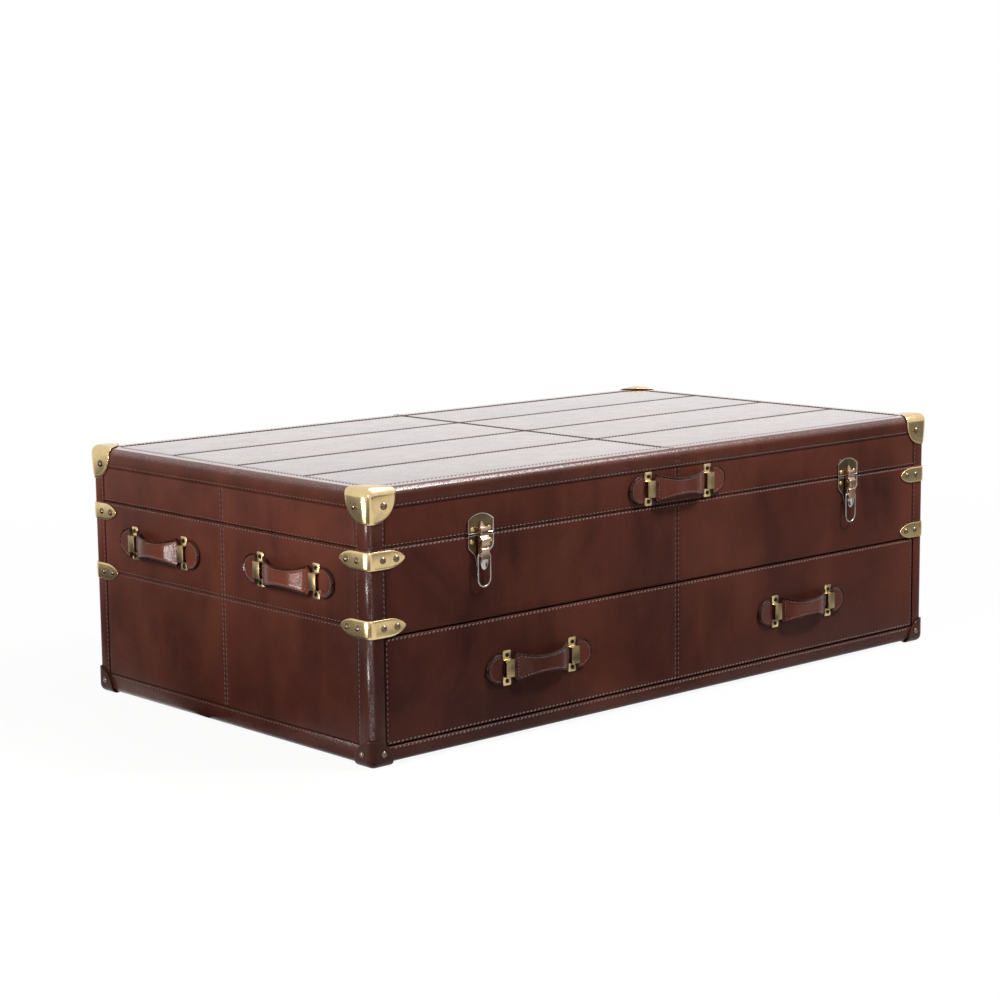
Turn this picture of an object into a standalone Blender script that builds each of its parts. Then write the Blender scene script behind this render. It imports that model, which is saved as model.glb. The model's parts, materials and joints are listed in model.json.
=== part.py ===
"""A low leather steamer trunk: a hinged lid over one compartment, and a full-width drawer below it.

Metres, +Z up, front towards -Y. The origin is on the floor, under the middle of the whole trunk.
Wall hardware is drawn as it sits on the front: X to the right, Z up and -Y out of the wall.
"""
from math import cos, pi, radians, sin, sqrt

import bmesh
import bpy
from mathutils import Matrix, Vector

# Trunk body
LENGTH = 1.25
DEPTH = 0.70
HEIGHT = 0.40
LID_HEIGHT = 0.085
DRAWER_FRONT_HEIGHT = 0.155
EDGE_RADIUS = 0.007
EDGE_SEGMENTS = 3

# Boards of the body, the lid and the drawer
SIDE_BOARD = 0.025
BASE_BOARD = 0.025
FRONT_BOARD = 0.018
BACK_BOARD = 0.015
FLOOR_BOARD = 0.012
LID_BOARD = 0.018
LID_RAIL = 0.020
DRAWER_FRONT_BOARD = 0.018
DRAWER_SIDE_BOARD = 0.012
DRAWER_BOTTOM_BOARD = 0.006
DRAWER_SIDE_HEIGHT = 0.120
DRAWER_BACK_ROOM = 0.015

# Clearances: pieces that touch, pieces that slide or turn, and the line round the drawer
SEAT = 0.0003
PLAY = 0.0006
DRAWER_REVEAL = 0.002

# Leather foot caps and brass lid caps, each a three-lobed corner
FOOT_LEATHER = 0.003
FOOT_REACH = 0.038
FOOT_STUD = (0.019, 0.017)
CAP_SHEET = 0.0015
CAP_REACH = 0.052
CAP_BELLY = 0.0116
CAP_STUD = (0.026, 0.024)

# Brass bands round the upright corners
BAND_SHEET = 0.0015
BAND_LEG = 0.064
BAND_HEIGHT = 0.026
BAND_TIP = 0.026
BAND_STUDS = (0.024, 0.049)
BAND_BELOW_SEAM = 0.003
BAND_ABOVE_DRAWER = 0.0008

# Domed rivets and screws
RIVET_RADIUS = 0.0048
RIVET_HEIGHT = 0.0022
SCREW_RADIUS = 0.0030
SCREW_HEIGHT = 0.0010
STUD_TAPER = 0.55
STUD_FOOT = 0.0006
STUD_SIDES = 8

# Leather handles and the two brass loops that hold each one
HANDLE_LENGTH = 0.212
HANDLE_LEATHER = 0.004
HANDLE_MIDDLE = 0.026
HANDLE_SHOULDER = 0.043
HANDLE_TAB = 0.044
HANDLE_TAB_ROUND = 0.024
HANDLE_SLOPE = 0.003
HANDLE_BOW = 0.0135
LOOP_SPACING = 0.134
LOOP_WIDTH = 0.016
LOOP_SPAN = 0.053
LOOP_BOX = 0.026
LOOP_RISE = 0.010
LOOP_SHEET = 0.0016
LOOP_SIDE_ROOM = 0.0015
LID_HANDLE_ABOVE_SEAM = 0.0285
DRAWER_HANDLE_INSET = 0.325
END_HANDLE_INSET = 0.185
STRAP_STEPS = 6
STRAP_BEND = 3

# Latches: a base plate with a lever, a wire bail on the lever, and a keeper on the lid
LATCH_INSET = 0.209
LATCH_PLATE = 0.0015
LATCH_WIDTH = 0.050
LATCH_EDGE = 0.0008
KEEPER_STRAIGHT = 0.016
KEEPER_ARCH = 0.014
KEEPER_SCREW = (0.016, 0.006)
BASE_STRAIGHT = 0.016
BASE_WAIST = (0.0115, 0.030)
BASE_FOOT = (0.0085, 0.045)
BASE_SCREW = (0.017, 0.009)
HOOK_WIDTH = 0.013
HOOK_REACH = 0.010
HOOK_LIP = 0.0026
HOOK_LOW = 0.004
HOOK_FLOOR = 0.0125
HOOK_TOP = 0.019
LEVER_WIDTH = 0.0156
LEVER_EYE = 0.0048
LEVER_DROP = 0.007
LEVER_LENGTH = 0.0455
LEVER_FRONT = 0.006
LEVER_STEP = 0.0009
LEVER_UPPER = 0.009
LEVER_LOWER = 0.0255
EAR_WIDTH = 0.005
PIN_RADIUS = 0.0015
BAIL_WIRE = 0.0015
BAIL_HALF_WIDTH = 0.012
BAIL_LENGTH = 0.047
BAIL_DOWN = 0.023
BAIL_OUT = 0.001
BAIL_ENGAGE = 0.0024

# Long back hinge, whose stop ribs meet when the lid leans just past upright
HINGE_KNUCKLES = 11
KNUCKLE_RADIUS = 0.0045
HINGE_PIN = 0.002
HINGE_LEAF = 0.002
HINGE_LEAF_HEIGHT = 0.025
HINGE_STOP_ANGLE = 97.0
HINGE_STOP_REACH = 0.0095
HINGE_RIB_HEIGHT = 0.014
HINGE_END_ROOM = 0.008

# Facets of round pieces
BORE_SIDES = 12
BALL_RINGS = 32
BEND_STEPS = 3
TIP_STEPS = 3
TIP_LAST = radians(78)

# Levels, from the floor up
BODY_LOW = FOOT_LEATHER + SEAT
BASE_TOP = BODY_LOW + BASE_BOARD
DRAWER_FRONT_LOW = BASE_TOP + DRAWER_REVEAL
DRAWER_FRONT_TOP = DRAWER_FRONT_LOW + DRAWER_FRONT_HEIGHT
FRONT_LOW = DRAWER_FRONT_TOP + DRAWER_REVEAL
FLOOR_TOP = FRONT_LOW + FLOOR_BOARD
SEAM = HEIGHT - LID_HEIGHT
BODY_TOP = SEAM - SEAT
DRAWER_LOW = BASE_TOP + SEAT

# How far the hardware stands out of the body, and the body's place between front and back
LATCH_FACE = SEAT + LATCH_PLATE
LEVER_OUT = LATCH_FACE + PLAY + LEVER_EYE
HANDLE_OUT = SEAT + HANDLE_BOW + HANDLE_LEATHER
HINGE_OUT = KNUCKLE_RADIUS + PLAY
STOP_HALF = radians(HINGE_STOP_ANGLE) / 2
FRONT_OUT = max(HANDLE_OUT, LEVER_OUT + LEVER_FRONT, SEAT + FOOT_LEATHER, SEAT + LOOP_RISE)
BACK_OUT = max(HINGE_OUT + HINGE_STOP_REACH * cos(STOP_HALF), SEAT + FOOT_LEATHER)
BODY_Y = (FRONT_OUT - BACK_OUT) / 2
FRONT = BODY_Y - DEPTH / 2
BACK = BODY_Y + DEPTH / 2
RIGHT = LENGTH / 2
INSIDE = RIGHT - SIDE_BOARD
LATCH_X = RIGHT - LATCH_INSET
DRAWER_HANDLE_X = RIGHT - DRAWER_HANDLE_INSET
END_HANDLE_Y = DEPTH / 2 - END_HANDLE_INSET

# Each corner's name, its sides in X and Y, and its quarter turns from the front left corner
CORNERS = (
    ("front_left", -RIGHT, FRONT, 0),
    ("front_right", RIGHT, FRONT, 1),
    ("back_right", RIGHT, BACK, 2),
    ("back_left", -RIGHT, BACK, 3),
)

# How a flat outline is set up: in the front view (X, Z), the side view (out, Z) and the back view (Y, Z)
FRONT_VIEW = Matrix(((1, 0, 0, 0), (0, 0, -1, 0), (0, 1, 0, 0), (0, 0, 0, 1)))
SIDE_VIEW = Matrix(((0, 0, -1, 0), (-1, 0, 0, 0), (0, 1, 0, 0), (0, 0, 0, 1)))
BACK_VIEW = Matrix(((0, 0, 1, 0), (1, 0, 0, 0), (0, 1, 0, 0), (0, 0, 0, 1)))

# Colour, roughness and metallic value of each finish
FINISHES = {
    "leather": ((0.060, 0.016, 0.011), 0.32, 0.0),
    "dark_leather": ((0.030, 0.010, 0.008), 0.38, 0.0),
    "wood": ((0.33, 0.20, 0.11), 0.55, 0.0),
    "lining": ((0.22, 0.15, 0.10), 0.80, 0.0),
    "brass": ((0.62, 0.46, 0.20), 0.28, 1.0),
    "latch": ((0.50, 0.40, 0.31), 0.26, 1.0),
}


def clear_scene():
    """Remove the objects that a new file starts with."""
    for thing in list(bpy.data.objects):
        bpy.data.objects.remove(thing)


def cleaned(bm):
    """Turn a bmesh into a mesh with its points welded and its faces pointing out."""
    bmesh.ops.remove_doubles(bm, verts=bm.verts, dist=1e-6)
    bmesh.ops.recalc_face_normals(bm, faces=bm.faces)
    mesh = bpy.data.meshes.new("piece")
    bm.to_mesh(mesh)
    bm.free()
    return mesh


def evaluated(data, modifier=None, settings=None):
    """Return the mesh of a curve or mesh after one modifier, leaving no working object behind."""
    worker = bpy.data.objects.new("worker", data)
    bpy.context.scene.collection.objects.link(worker)
    if modifier:
        step = worker.modifiers.new(modifier.lower(), modifier)
        for key, value in settings.items():
            setattr(step, key, value)
    graph = bpy.context.evaluated_depsgraph_get()
    mesh = bpy.data.meshes.new_from_object(worker.evaluated_get(graph))
    bpy.data.objects.remove(worker)
    bm = bmesh.new()
    bm.from_mesh(mesh)
    return cleaned(bm)


def combined(mesh, tool, operation):
    """Join a tool to a mesh, cut it away or keep what both share."""
    cutter = bpy.data.objects.new("cutter", tool)
    bpy.context.scene.collection.objects.link(cutter)
    settings = {"object": cutter, "operation": operation, "solver": "EXACT"}
    result = evaluated(mesh, "BOOLEAN", settings)
    bpy.data.objects.remove(cutter)
    return result


def on_side(point, low, high, side):
    """Tell whether a point is on one side of a box, named like -x or +z."""
    axis = "xyz".index(side[1])
    bound = low[axis] if side[0] == "-" else high[axis]
    return abs(point[axis] - bound) < 1e-6


def box_mesh(low, high, rounded=(), radius=EDGE_RADIUS):
    """A box whose edges between the given pairs of sides are rounded."""
    low, high = Vector(low), Vector(high)
    bm = bmesh.new()
    bmesh.ops.create_cube(bm, size=1.0)
    bmesh.ops.scale(bm, vec=high - low, verts=bm.verts)
    bmesh.ops.translate(bm, vec=(low + high) / 2, verts=bm.verts)
    edges = []
    for edge in bm.edges:
        for pair in rounded:
            if all(on_side(vert.co, low, high, side) for vert in edge.verts for side in pair):
                edges.append(edge)
    if edges:
        bmesh.ops.bevel(bm, geom=edges, offset=radius, segments=EDGE_SEGMENTS, profile=0.5, affect="EDGES")
    return cleaned(bm)


def prism_mesh(outline, width, view):
    """A flat outline with a width, centred on the outline's plane."""
    curve = bpy.data.curves.new("outline", "CURVE")
    curve.dimensions = "2D"
    curve.fill_mode = "BOTH"
    curve.extrude = width / 2
    spline = curve.splines.new("POLY")
    spline.points.add(len(outline) - 1)
    for point, (across, up) in zip(spline.points, outline):
        point.co = (across, up, 0, 1)
    spline.use_cyclic_u = True
    mesh = evaluated(curve)
    mesh.transform(view)
    return mesh


def arc(centre, radius, start, end, steps):
    """Points along a round stretch of an outline, with both ends."""
    points = []
    for i in range(steps + 1):
        angle = start + (end - start) * i / steps
        points.append((centre[0] + radius * cos(angle), centre[1] + radius * sin(angle)))
    return points


def rod_mesh(radius, start, end, sides=BORE_SIDES, tip_radius=None):
    """A round bar or a taper between two points."""
    start, end = Vector(start), Vector(end)
    along = end - start
    tip = radius if tip_radius is None else tip_radius
    bm = bmesh.new()
    bmesh.ops.create_cone(
        bm, cap_ends=True, segments=sides, radius1=radius, radius2=tip, depth=along.length)
    turn = along.to_track_quat("Z", "Y").to_matrix().to_4x4()
    bmesh.ops.transform(bm, matrix=Matrix.Translation((start + end) / 2) @ turn, verts=bm.verts)
    return cleaned(bm)


def with_stud(mesh, foot, out, radius, height):
    """Join a domed rivet or screw head to a plate, standing on one point of its face."""
    foot, out = Vector(foot), Vector(out)
    stud = rod_mesh(radius, foot - out * STUD_FOOT, foot + out * height, STUD_SIDES, radius * STUD_TAPER)
    return combined(mesh, stud, "UNION")


def strip_mesh(rows, across, sheet, out):
    """A bent strip of sheet through rows of (centre, half width), thickened outwards."""
    bm = bmesh.new()
    bmesh.ops.create_grid(bm, x_segments=len(rows) - 1, y_segments=1, size=1.0)
    corners = sorted(bm.verts, key=lambda vert: (round(vert.co.x, 5), vert.co.y))
    for i, (centre, half) in enumerate(rows):
        corners[2 * i].co = centre - across * half
        corners[2 * i + 1].co = centre + across * half
    bm.normal_update()
    bm.faces.ensure_lookup_table()
    if bm.faces[0].normal.dot(out) < 0:
        bmesh.ops.reverse_faces(bm, faces=bm.faces)
    mesh = bpy.data.meshes.new("strip")
    bm.to_mesh(mesh)
    bm.free()
    return evaluated(mesh, "SOLIDIFY", {"thickness": sheet, "offset": 1.0, "use_even_offset": True})


def material(name, finish):
    """A plain material for one piece."""
    colour, roughness, metallic = FINISHES[finish]
    result = bpy.data.materials.new(name)
    result.use_nodes = True
    shader = result.node_tree.nodes["Principled BSDF"]
    shader.inputs["Base Color"].default_value = (*colour, 1.0)
    shader.inputs["Roughness"].default_value = roughness
    shader.inputs["Metallic"].default_value = metallic
    return result


def add(name, mesh, finish, place=(0, 0, 0), turn=(0, 0, 0), owner=None):
    """Put one named piece in the trunk's collection, carried by its owner if it has one."""
    data = mesh.copy()
    data.name = name
    data.materials.clear()
    data.materials.append(material(name, finish))
    data.shade_smooth()
    data.set_sharp_from_angle(angle=radians(35))
    piece = bpy.data.objects.new(name, data)
    bpy.data.collections["steamer_trunk"].objects.link(piece)
    piece.rotation_euler = turn
    piece.location = Vector(place)
    if owner:
        piece.parent = owner
        piece.location -= owner.location
    return piece


def add_box(name, low, high, finish, rounded=(), owner=None):
    """Put a board in the trunk, with its origin at its middle."""
    middle = (Vector(low) + Vector(high)) / 2
    mesh = box_mesh(Vector(low) - middle, Vector(high) - middle, rounded)
    return add(name, mesh, finish, middle, owner=owner)


def add_axis(name, place):
    """An empty on a joint's axis, which carries the pieces that move together."""
    axis = bpy.data.objects.new(name, None)
    axis.location = place
    axis.empty_display_size = 0.05
    bpy.data.collections["steamer_trunk"].objects.link(axis)
    return axis


def add_body():
    """The leather-covered boards of the body."""
    for name, side in (("left_side_panel", -1), ("right_side_panel", 1)):
        near, far = sorted((side * INSIDE, side * RIGHT))
        outer = "-x" if side < 0 else "+x"
        edges = ((outer, "-y"), (outer, "+y"), (outer, "-z"), ("-y", "-z"), ("+y", "-z"))
        add_box(name, (near, FRONT, BODY_LOW), (far, BACK, BODY_TOP), "leather", edges)
    half = INSIDE - SEAT
    low_edges = (("-y", "-z"), ("+y", "-z"))
    add_box("bottom_panel", (-half, FRONT, BODY_LOW), (half, BACK, BASE_TOP), "leather", low_edges)
    add_box("back_panel", (-half, BACK - BACK_BOARD, BASE_TOP + SEAT), (half, BACK, BODY_TOP), "leather")
    add_box("front_panel", (-half, FRONT, FRONT_LOW), (half, FRONT + FRONT_BOARD, BODY_TOP), "leather")
    floor_low = (-half, FRONT + FRONT_BOARD + SEAT, FRONT_LOW)
    floor_high = (half, BACK - BACK_BOARD - SEAT, FLOOR_TOP)
    add_box("compartment_floor", floor_low, floor_high, "lining")


def add_lid(axis):
    """The lid's frame of rails and the board on top of it."""
    uprights = (("-x", "-y"), ("-x", "+y"), ("+x", "-y"), ("+x", "+y"))
    middle = Vector((0, BODY_Y, SEAM))
    frame_high = LID_HEIGHT - LID_BOARD - SEAT
    frame = box_mesh((-RIGHT, -DEPTH / 2, 0), (RIGHT, DEPTH / 2, frame_high), uprights)
    inner = Vector((RIGHT - LID_RAIL, DEPTH / 2 - LID_RAIL, 2 * frame_high))
    frame = combined(frame, box_mesh(-inner, inner), "DIFFERENCE")
    add("lid_frame", frame, "leather", middle, owner=axis)
    tops = tuple((side, "+z") for side in ("-x", "+x", "-y", "+y"))
    add_box("lid_top", (-RIGHT, FRONT, HEIGHT - LID_BOARD), (RIGHT, BACK, HEIGHT), "leather",
            uprights + tops, axis)


def clear_of_feet(level):
    """Half the width between the front foot caps at a level, less the play that lets the drawer pass."""
    width = sqrt(max(0.0, FOOT_REACH ** 2 - (level - BODY_LOW) ** 2))
    return RIGHT - width - PLAY


def add_drawer(axis):
    """The drawer's leather front and its wooden box, which passes between the foot caps."""
    front_half = INSIDE - DRAWER_REVEAL
    box_half = min(INSIDE - PLAY, clear_of_feet(DRAWER_LOW))
    front_back = FRONT + DRAWER_FRONT_BOARD
    box_front = front_back + SEAT
    box_back = BACK - BACK_BOARD - DRAWER_BACK_ROOM
    box_top = DRAWER_LOW + DRAWER_SIDE_HEIGHT
    between = box_half - DRAWER_SIDE_BOARD - SEAT
    add_box("drawer_front", (-front_half, FRONT, DRAWER_FRONT_LOW), (front_half, front_back, DRAWER_FRONT_TOP),
            "leather", owner=axis)
    for name, side in (("drawer_left_side", -1), ("drawer_right_side", 1)):
        near, far = sorted((side * box_half, side * (box_half - DRAWER_SIDE_BOARD)))
        add_box(name, (near, box_front, DRAWER_LOW), (far, box_back, box_top), "wood", owner=axis)
    back_front = box_back - DRAWER_SIDE_BOARD
    add_box("drawer_back", (-between, back_front, DRAWER_LOW), (between, box_back, box_top), "wood", owner=axis)
    add_box("drawer_bottom", (-between, box_front, DRAWER_LOW),
            (between, back_front - SEAT, DRAWER_LOW + DRAWER_BOTTOM_BOARD), "wood", owner=axis)


def corner_cap_mesh(reach, belly, sheet, stud_place):
    """A three-lobed cap over a box corner at the origin, the box towards +X, +Y and -Z.

    The lobes are what a ball keeps of a rounded corner shell: the further in its centre, the fuller
    they are. A rivet holds each upright lobe.
    """
    edges = (("-x", "-y"), ("-x", "+z"), ("-y", "+z"))
    skin = SEAT + sheet
    far = 2 * reach
    outer = box_mesh((-skin, -skin, -far), (far, far, skin), edges, EDGE_RADIUS + skin)
    inner = box_mesh((-SEAT, -SEAT, -2 * far), (2 * far, 2 * far, SEAT), edges, EDGE_RADIUS + SEAT)
    shell = combined(outer, inner, "DIFFERENCE")
    bm = bmesh.new()
    radius = sqrt((reach - belly) ** 2 + 2 * belly ** 2)
    bmesh.ops.create_uvsphere(bm, u_segments=BALL_RINGS, v_segments=BALL_RINGS // 2, radius=radius)
    bmesh.ops.translate(bm, vec=(belly, belly, -belly), verts=bm.verts)
    cap = combined(shell, cleaned(bm), "INTERSECT")
    along, down = stud_place
    cap = with_stud(cap, (along, -skin, -down), (0, -1, 0), RIVET_RADIUS, RIVET_HEIGHT)
    return with_stud(cap, (-skin, along, -down), (-1, 0, 0), RIVET_RADIUS, RIVET_HEIGHT)


def band_mesh():
    """A band round an upright corner at the origin, the body towards +X and +Y."""
    half = BAND_HEIGHT / 2
    leg = []
    for i in range(TIP_STEPS + 1):
        angle = TIP_LAST * i / TIP_STEPS
        leg.append((BAND_LEG - BAND_TIP + BAND_TIP * sin(angle), half * cos(angle)))
    rows = [(Vector((along, -SEAT, 0)), width) for along, width in reversed(leg)]
    for x, y in arc((EDGE_RADIUS, EDGE_RADIUS), EDGE_RADIUS + SEAT, -pi / 2, -pi, BEND_STEPS):
        rows.append((Vector((x, y, 0)), half))
    rows += [(Vector((-SEAT, along, 0)), width) for along, width in leg]
    band = strip_mesh(rows, Vector((0, 0, 1)), BAND_SHEET, Vector((0, -1, 0)))
    face = SEAT + BAND_SHEET
    for along in BAND_STUDS:
        band = with_stud(band, (along, -face, 0), (0, -1, 0), RIVET_RADIUS, RIVET_HEIGHT)
        band = with_stud(band, (-face, along, 0), (-1, 0, 0), RIVET_RADIUS, RIVET_HEIGHT)
    return band


def add_corners(lid_axis):
    """Foot caps, two bands on each upright edge and the lid's caps."""
    foot = corner_cap_mesh(FOOT_REACH, 0.0, FOOT_LEATHER, FOOT_STUD)
    cap = corner_cap_mesh(CAP_REACH, CAP_BELLY, CAP_SHEET, CAP_STUD)
    band = band_mesh()
    upper = BODY_TOP - BAND_BELOW_SEAM - BAND_HEIGHT / 2
    lower = FRONT_LOW + BAND_ABOVE_DRAWER + BAND_HEIGHT / 2
    for name, x, y, quarter in CORNERS:
        turn = (0, 0, quarter * pi / 2)
        upside_down = (pi, 0, (quarter + 1) * pi / 2)
        add("foot_cap_" + name, foot, "dark_leather", (x, y, BODY_LOW), upside_down)
        add("corner_band_lower_" + name, band, "brass", (x, y, lower), turn)
        add("corner_band_upper_" + name, band, "brass", (x, y, upper), turn)
        add("lid_cap_" + name, cap, "brass", (x, y, HEIGHT), turn, lid_axis)


def handle_strap_mesh():
    """A strap along X: a round tab at each end, a neck in each loop and a middle bowed outwards."""
    neck = LOOP_BOX / 2 - LOOP_SHEET - PLAY
    inner = LOOP_SPACING / 2 - LOOP_WIDTH / 2 - LOOP_SIDE_ROOM
    outer = LOOP_SPACING / 2 + LOOP_WIDTH / 2 + LOOP_SIDE_ROOM
    shoulder = inner - HANDLE_SLOPE
    half = []
    for i in range(1, STRAP_STEPS + 1):
        share = i / STRAP_STEPS
        half.append((shoulder * share, (HANDLE_MIDDLE + (HANDLE_SHOULDER - HANDLE_MIDDLE) * share ** 2) / 2))
    half += [(inner, neck), (outer, neck), (outer + HANDLE_SLOPE, HANDLE_TAB / 2)]
    end = HANDLE_LENGTH / 2
    for i in range(TIP_STEPS + 1):
        angle = TIP_LAST * i / TIP_STEPS
        half.append((end - HANDLE_TAB_ROUND * (1 - sin(angle)), HANDLE_TAB / 2 * cos(angle)))
    whole = [(-along, width) for along, width in reversed(half)] + [(0.0, HANDLE_MIDDLE / 2)] + half
    rows = []
    for along, width in whole:
        bow = HANDLE_BOW * max(0.0, 1 - abs(along / inner) ** STRAP_BEND)
        rows.append((Vector((along, -SEAT - bow, 0)), width))
    return strip_mesh(rows, Vector((0, 0, 1)), HANDLE_LEATHER, Vector((0, -1, 0)))


def handle_loop_mesh():
    """A brass strip bent into a box over the strap, with an ear and a screw above and below."""
    ear = LOOP_SPAN / 2
    box = LOOP_BOX / 2
    wall = box - LOOP_SHEET
    ear_face = SEAT + LOOP_SHEET
    top = SEAT + LOOP_RISE
    roof = top - LOOP_SHEET
    half = [(ear_face, ear), (SEAT, ear), (SEAT, wall), (roof, wall)]
    other = [(out, -up) for out, up in reversed(half)]
    outline = half + other + [(ear_face, -box), (top, -box), (top, box), (ear_face, box)]
    loop = prism_mesh(outline, LOOP_WIDTH, SIDE_VIEW)
    for up in (-(ear + box) / 2, (ear + box) / 2):
        loop = with_stud(loop, (0, -ear_face, up), (0, -1, 0), SCREW_RADIUS, SCREW_HEIGHT)
    return loop


def add_handles(lid_axis, drawer_axis):
    """One handle on the lid, two on the drawer and two on each end."""
    strap = handle_strap_mesh()
    loop = handle_loop_mesh()
    lid_z = SEAM + LID_HANDLE_ABOVE_SEAM
    drawer_z = (DRAWER_FRONT_LOW + DRAWER_FRONT_TOP) / 2
    end_z = (FLOOR_TOP + BODY_TOP) / 2
    across = ("left", "right")
    handles = [
        ("lid_handle", (0, FRONT, lid_z), 0, lid_axis, across),
        ("drawer_left_handle", (-DRAWER_HANDLE_X, FRONT, drawer_z), 0, drawer_axis, across),
        ("drawer_right_handle", (DRAWER_HANDLE_X, FRONT, drawer_z), 0, drawer_axis, across),
    ]
    for place, y in (("front", BODY_Y - END_HANDLE_Y), ("back", BODY_Y + END_HANDLE_Y)):
        left = ("left_end_" + place + "_handle", (-RIGHT, y, end_z), -1, None, ("back", "front"))
        right = ("right_end_" + place + "_handle", (RIGHT, y, end_z), 1, None, ("front", "back"))
        handles += [left, right]
    for name, place, quarter, owner, ends in handles:
        turn = (0, 0, quarter * pi / 2)
        add(name + "_strap", strap, "leather", place, turn, owner)
        along = Matrix.Rotation(quarter * pi / 2, 3, "Z") @ Vector((LOOP_SPACING / 2, 0, 0))
        for end, side in zip(ends, (-1, 1)):
            add(name + "_loop_" + end, loop, "brass", Vector(place) + along * side, turn, owner)


def latch_base_mesh():
    """The lower plate, measured from the lever's pivot line, with an ear for the lever's pin."""
    top = LEVER_DROP - LATCH_EDGE
    half = LATCH_WIDTH / 2
    side = [(half, top), (half, top - BASE_STRAIGHT)]
    side += [(x, top - down) for x, down in (BASE_WAIST, BASE_FOOT)]
    outline = side + [(-x, z) for x, z in reversed(side)]
    base = prism_mesh(outline, LATCH_PLATE, FRONT_VIEW)
    base.transform(Matrix.Translation((0, LEVER_OUT - SEAT - LATCH_PLATE / 2, 0)))
    root = SEAT + LATCH_PLATE / 2 - LEVER_OUT
    eye = LEVER_EYE - PLAY
    nose = [(root, -eye)] + arc((0, 0), eye, -pi / 2, pi / 2, 8) + [(root, eye)]
    base = combined(base, prism_mesh(nose, EAR_WIDTH, SIDE_VIEW), "UNION")
    bore = rod_mesh(PIN_RADIUS + PLAY / 4, (-EAR_WIDTH, 0, 0), (EAR_WIDTH, 0, 0))
    base = combined(base, bore, "DIFFERENCE")
    x, down = BASE_SCREW
    for side in (-1, 1):
        foot = (side * x, LEVER_OUT - LATCH_FACE, top - down)
        base = with_stud(base, foot, (0, -1, 0), SCREW_RADIUS, SCREW_HEIGHT)
    return base


def latch_lever_mesh():
    """The stepped lever that hangs from its pivot at the origin, with a slot for the base's ear."""
    back = -LEVER_EYE + PLAY
    middle = LEVER_FRONT - LEVER_STEP
    lower = middle - LEVER_STEP
    outline = [(LEVER_FRONT, -LEVER_UPPER + LEVER_STEP), (LEVER_FRONT, -LEVER_EYE / 2)]
    outline += arc((0, 0), LEVER_EYE, radians(15), pi, 9)
    outline += [(back, -LEVER_EYE), (back, -LEVER_LOWER), (back / 2, -LEVER_LENGTH + LEVER_STEP)]
    outline += [(0, -LEVER_LENGTH), (lower - LEVER_STEP, -LEVER_LENGTH + 4 * LEVER_STEP)]
    outline += [(lower, -LEVER_LOWER - LEVER_STEP), (middle, -LEVER_LOWER), (middle, -LEVER_UPPER)]
    lever = prism_mesh(outline, LEVER_WIDTH, SIDE_VIEW)
    slot = EAR_WIDTH / 2 + PLAY
    reach = 2 * LEVER_LENGTH
    cutter = box_mesh((-slot, -reach, -LEVER_EYE - PLAY), (slot, reach, reach))
    lever = combined(lever, cutter, "DIFFERENCE")
    inside = LEVER_WIDTH / 2 - PLAY
    lever = combined(lever, rod_mesh(PIN_RADIUS, (-inside, 0, 0), (inside, 0, 0)), "UNION")
    hole_y, hole_z = -BAIL_OUT, -BAIL_DOWN
    hole = rod_mesh(BAIL_WIRE + PLAY / 4, (-LEVER_WIDTH, hole_y, hole_z), (LEVER_WIDTH, hole_y, hole_z))
    return combined(lever, hole, "DIFFERENCE")


def latch_bail_mesh():
    """The wire bail that hangs from its two turned-in ends, with its pivot line at the origin."""
    turn_in = LEVER_WIDTH / 2 - BAIL_ENGAGE
    bend = BAIL_WIRE * 1.2
    round_z = -BAIL_LENGTH + BAIL_HALF_WIDTH
    left = [(-turn_in, 0), (-BAIL_HALF_WIDTH + bend, 0), (-BAIL_HALF_WIDTH, -bend)]
    route = left + arc((0, round_z), BAIL_HALF_WIDTH, pi, 2 * pi, 8) + [(-x, z) for x, z in reversed(left)]
    curve = bpy.data.curves.new("bail", "CURVE")
    curve.dimensions = "3D"
    curve.bevel_depth = BAIL_WIRE
    curve.bevel_resolution = 2
    curve.use_fill_caps = True
    spline = curve.splines.new("POLY")
    spline.points.add(len(route) - 1)
    for point, (x, z) in zip(spline.points, route):
        point.co = (x, 0, z, 1)
    return evaluated(curve)


def latch_keeper_mesh():
    """The upper plate, measured from the lid's lower edge, with an upturned hook for the bail."""
    half = LATCH_WIDTH / 2
    rise = KEEPER_STRAIGHT + LATCH_EDGE
    radius = (half ** 2 + KEEPER_ARCH ** 2) / (2 * KEEPER_ARCH)
    centre = rise + KEEPER_ARCH - radius
    spread = Vector((half, rise - centre)).angle(Vector((1, 0)))
    outline = [(-half, LATCH_EDGE), (half, LATCH_EDGE)] + arc((0, centre), radius, spread, pi - spread, 8)
    keeper = prism_mesh(outline, LATCH_PLATE, FRONT_VIEW)
    keeper.transform(Matrix.Translation((0, -SEAT - LATCH_PLATE / 2, 0)))
    root = SEAT + LATCH_PLATE / 2
    inner = HOOK_REACH - HOOK_LIP
    hook = [(root, HOOK_LOW), (HOOK_REACH, HOOK_LOW), (HOOK_REACH, HOOK_TOP), (inner, HOOK_TOP)]
    hook += [(inner, HOOK_FLOOR), (root, HOOK_FLOOR)]
    keeper = combined(keeper, prism_mesh(hook, HOOK_WIDTH, SIDE_VIEW), "UNION")
    x, up = KEEPER_SCREW
    for side in (-1, 1):
        foot = (side * x, -LATCH_FACE, LATCH_EDGE + up)
        keeper = with_stud(keeper, foot, (0, -1, 0), SCREW_RADIUS, SCREW_HEIGHT)
    return keeper


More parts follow.
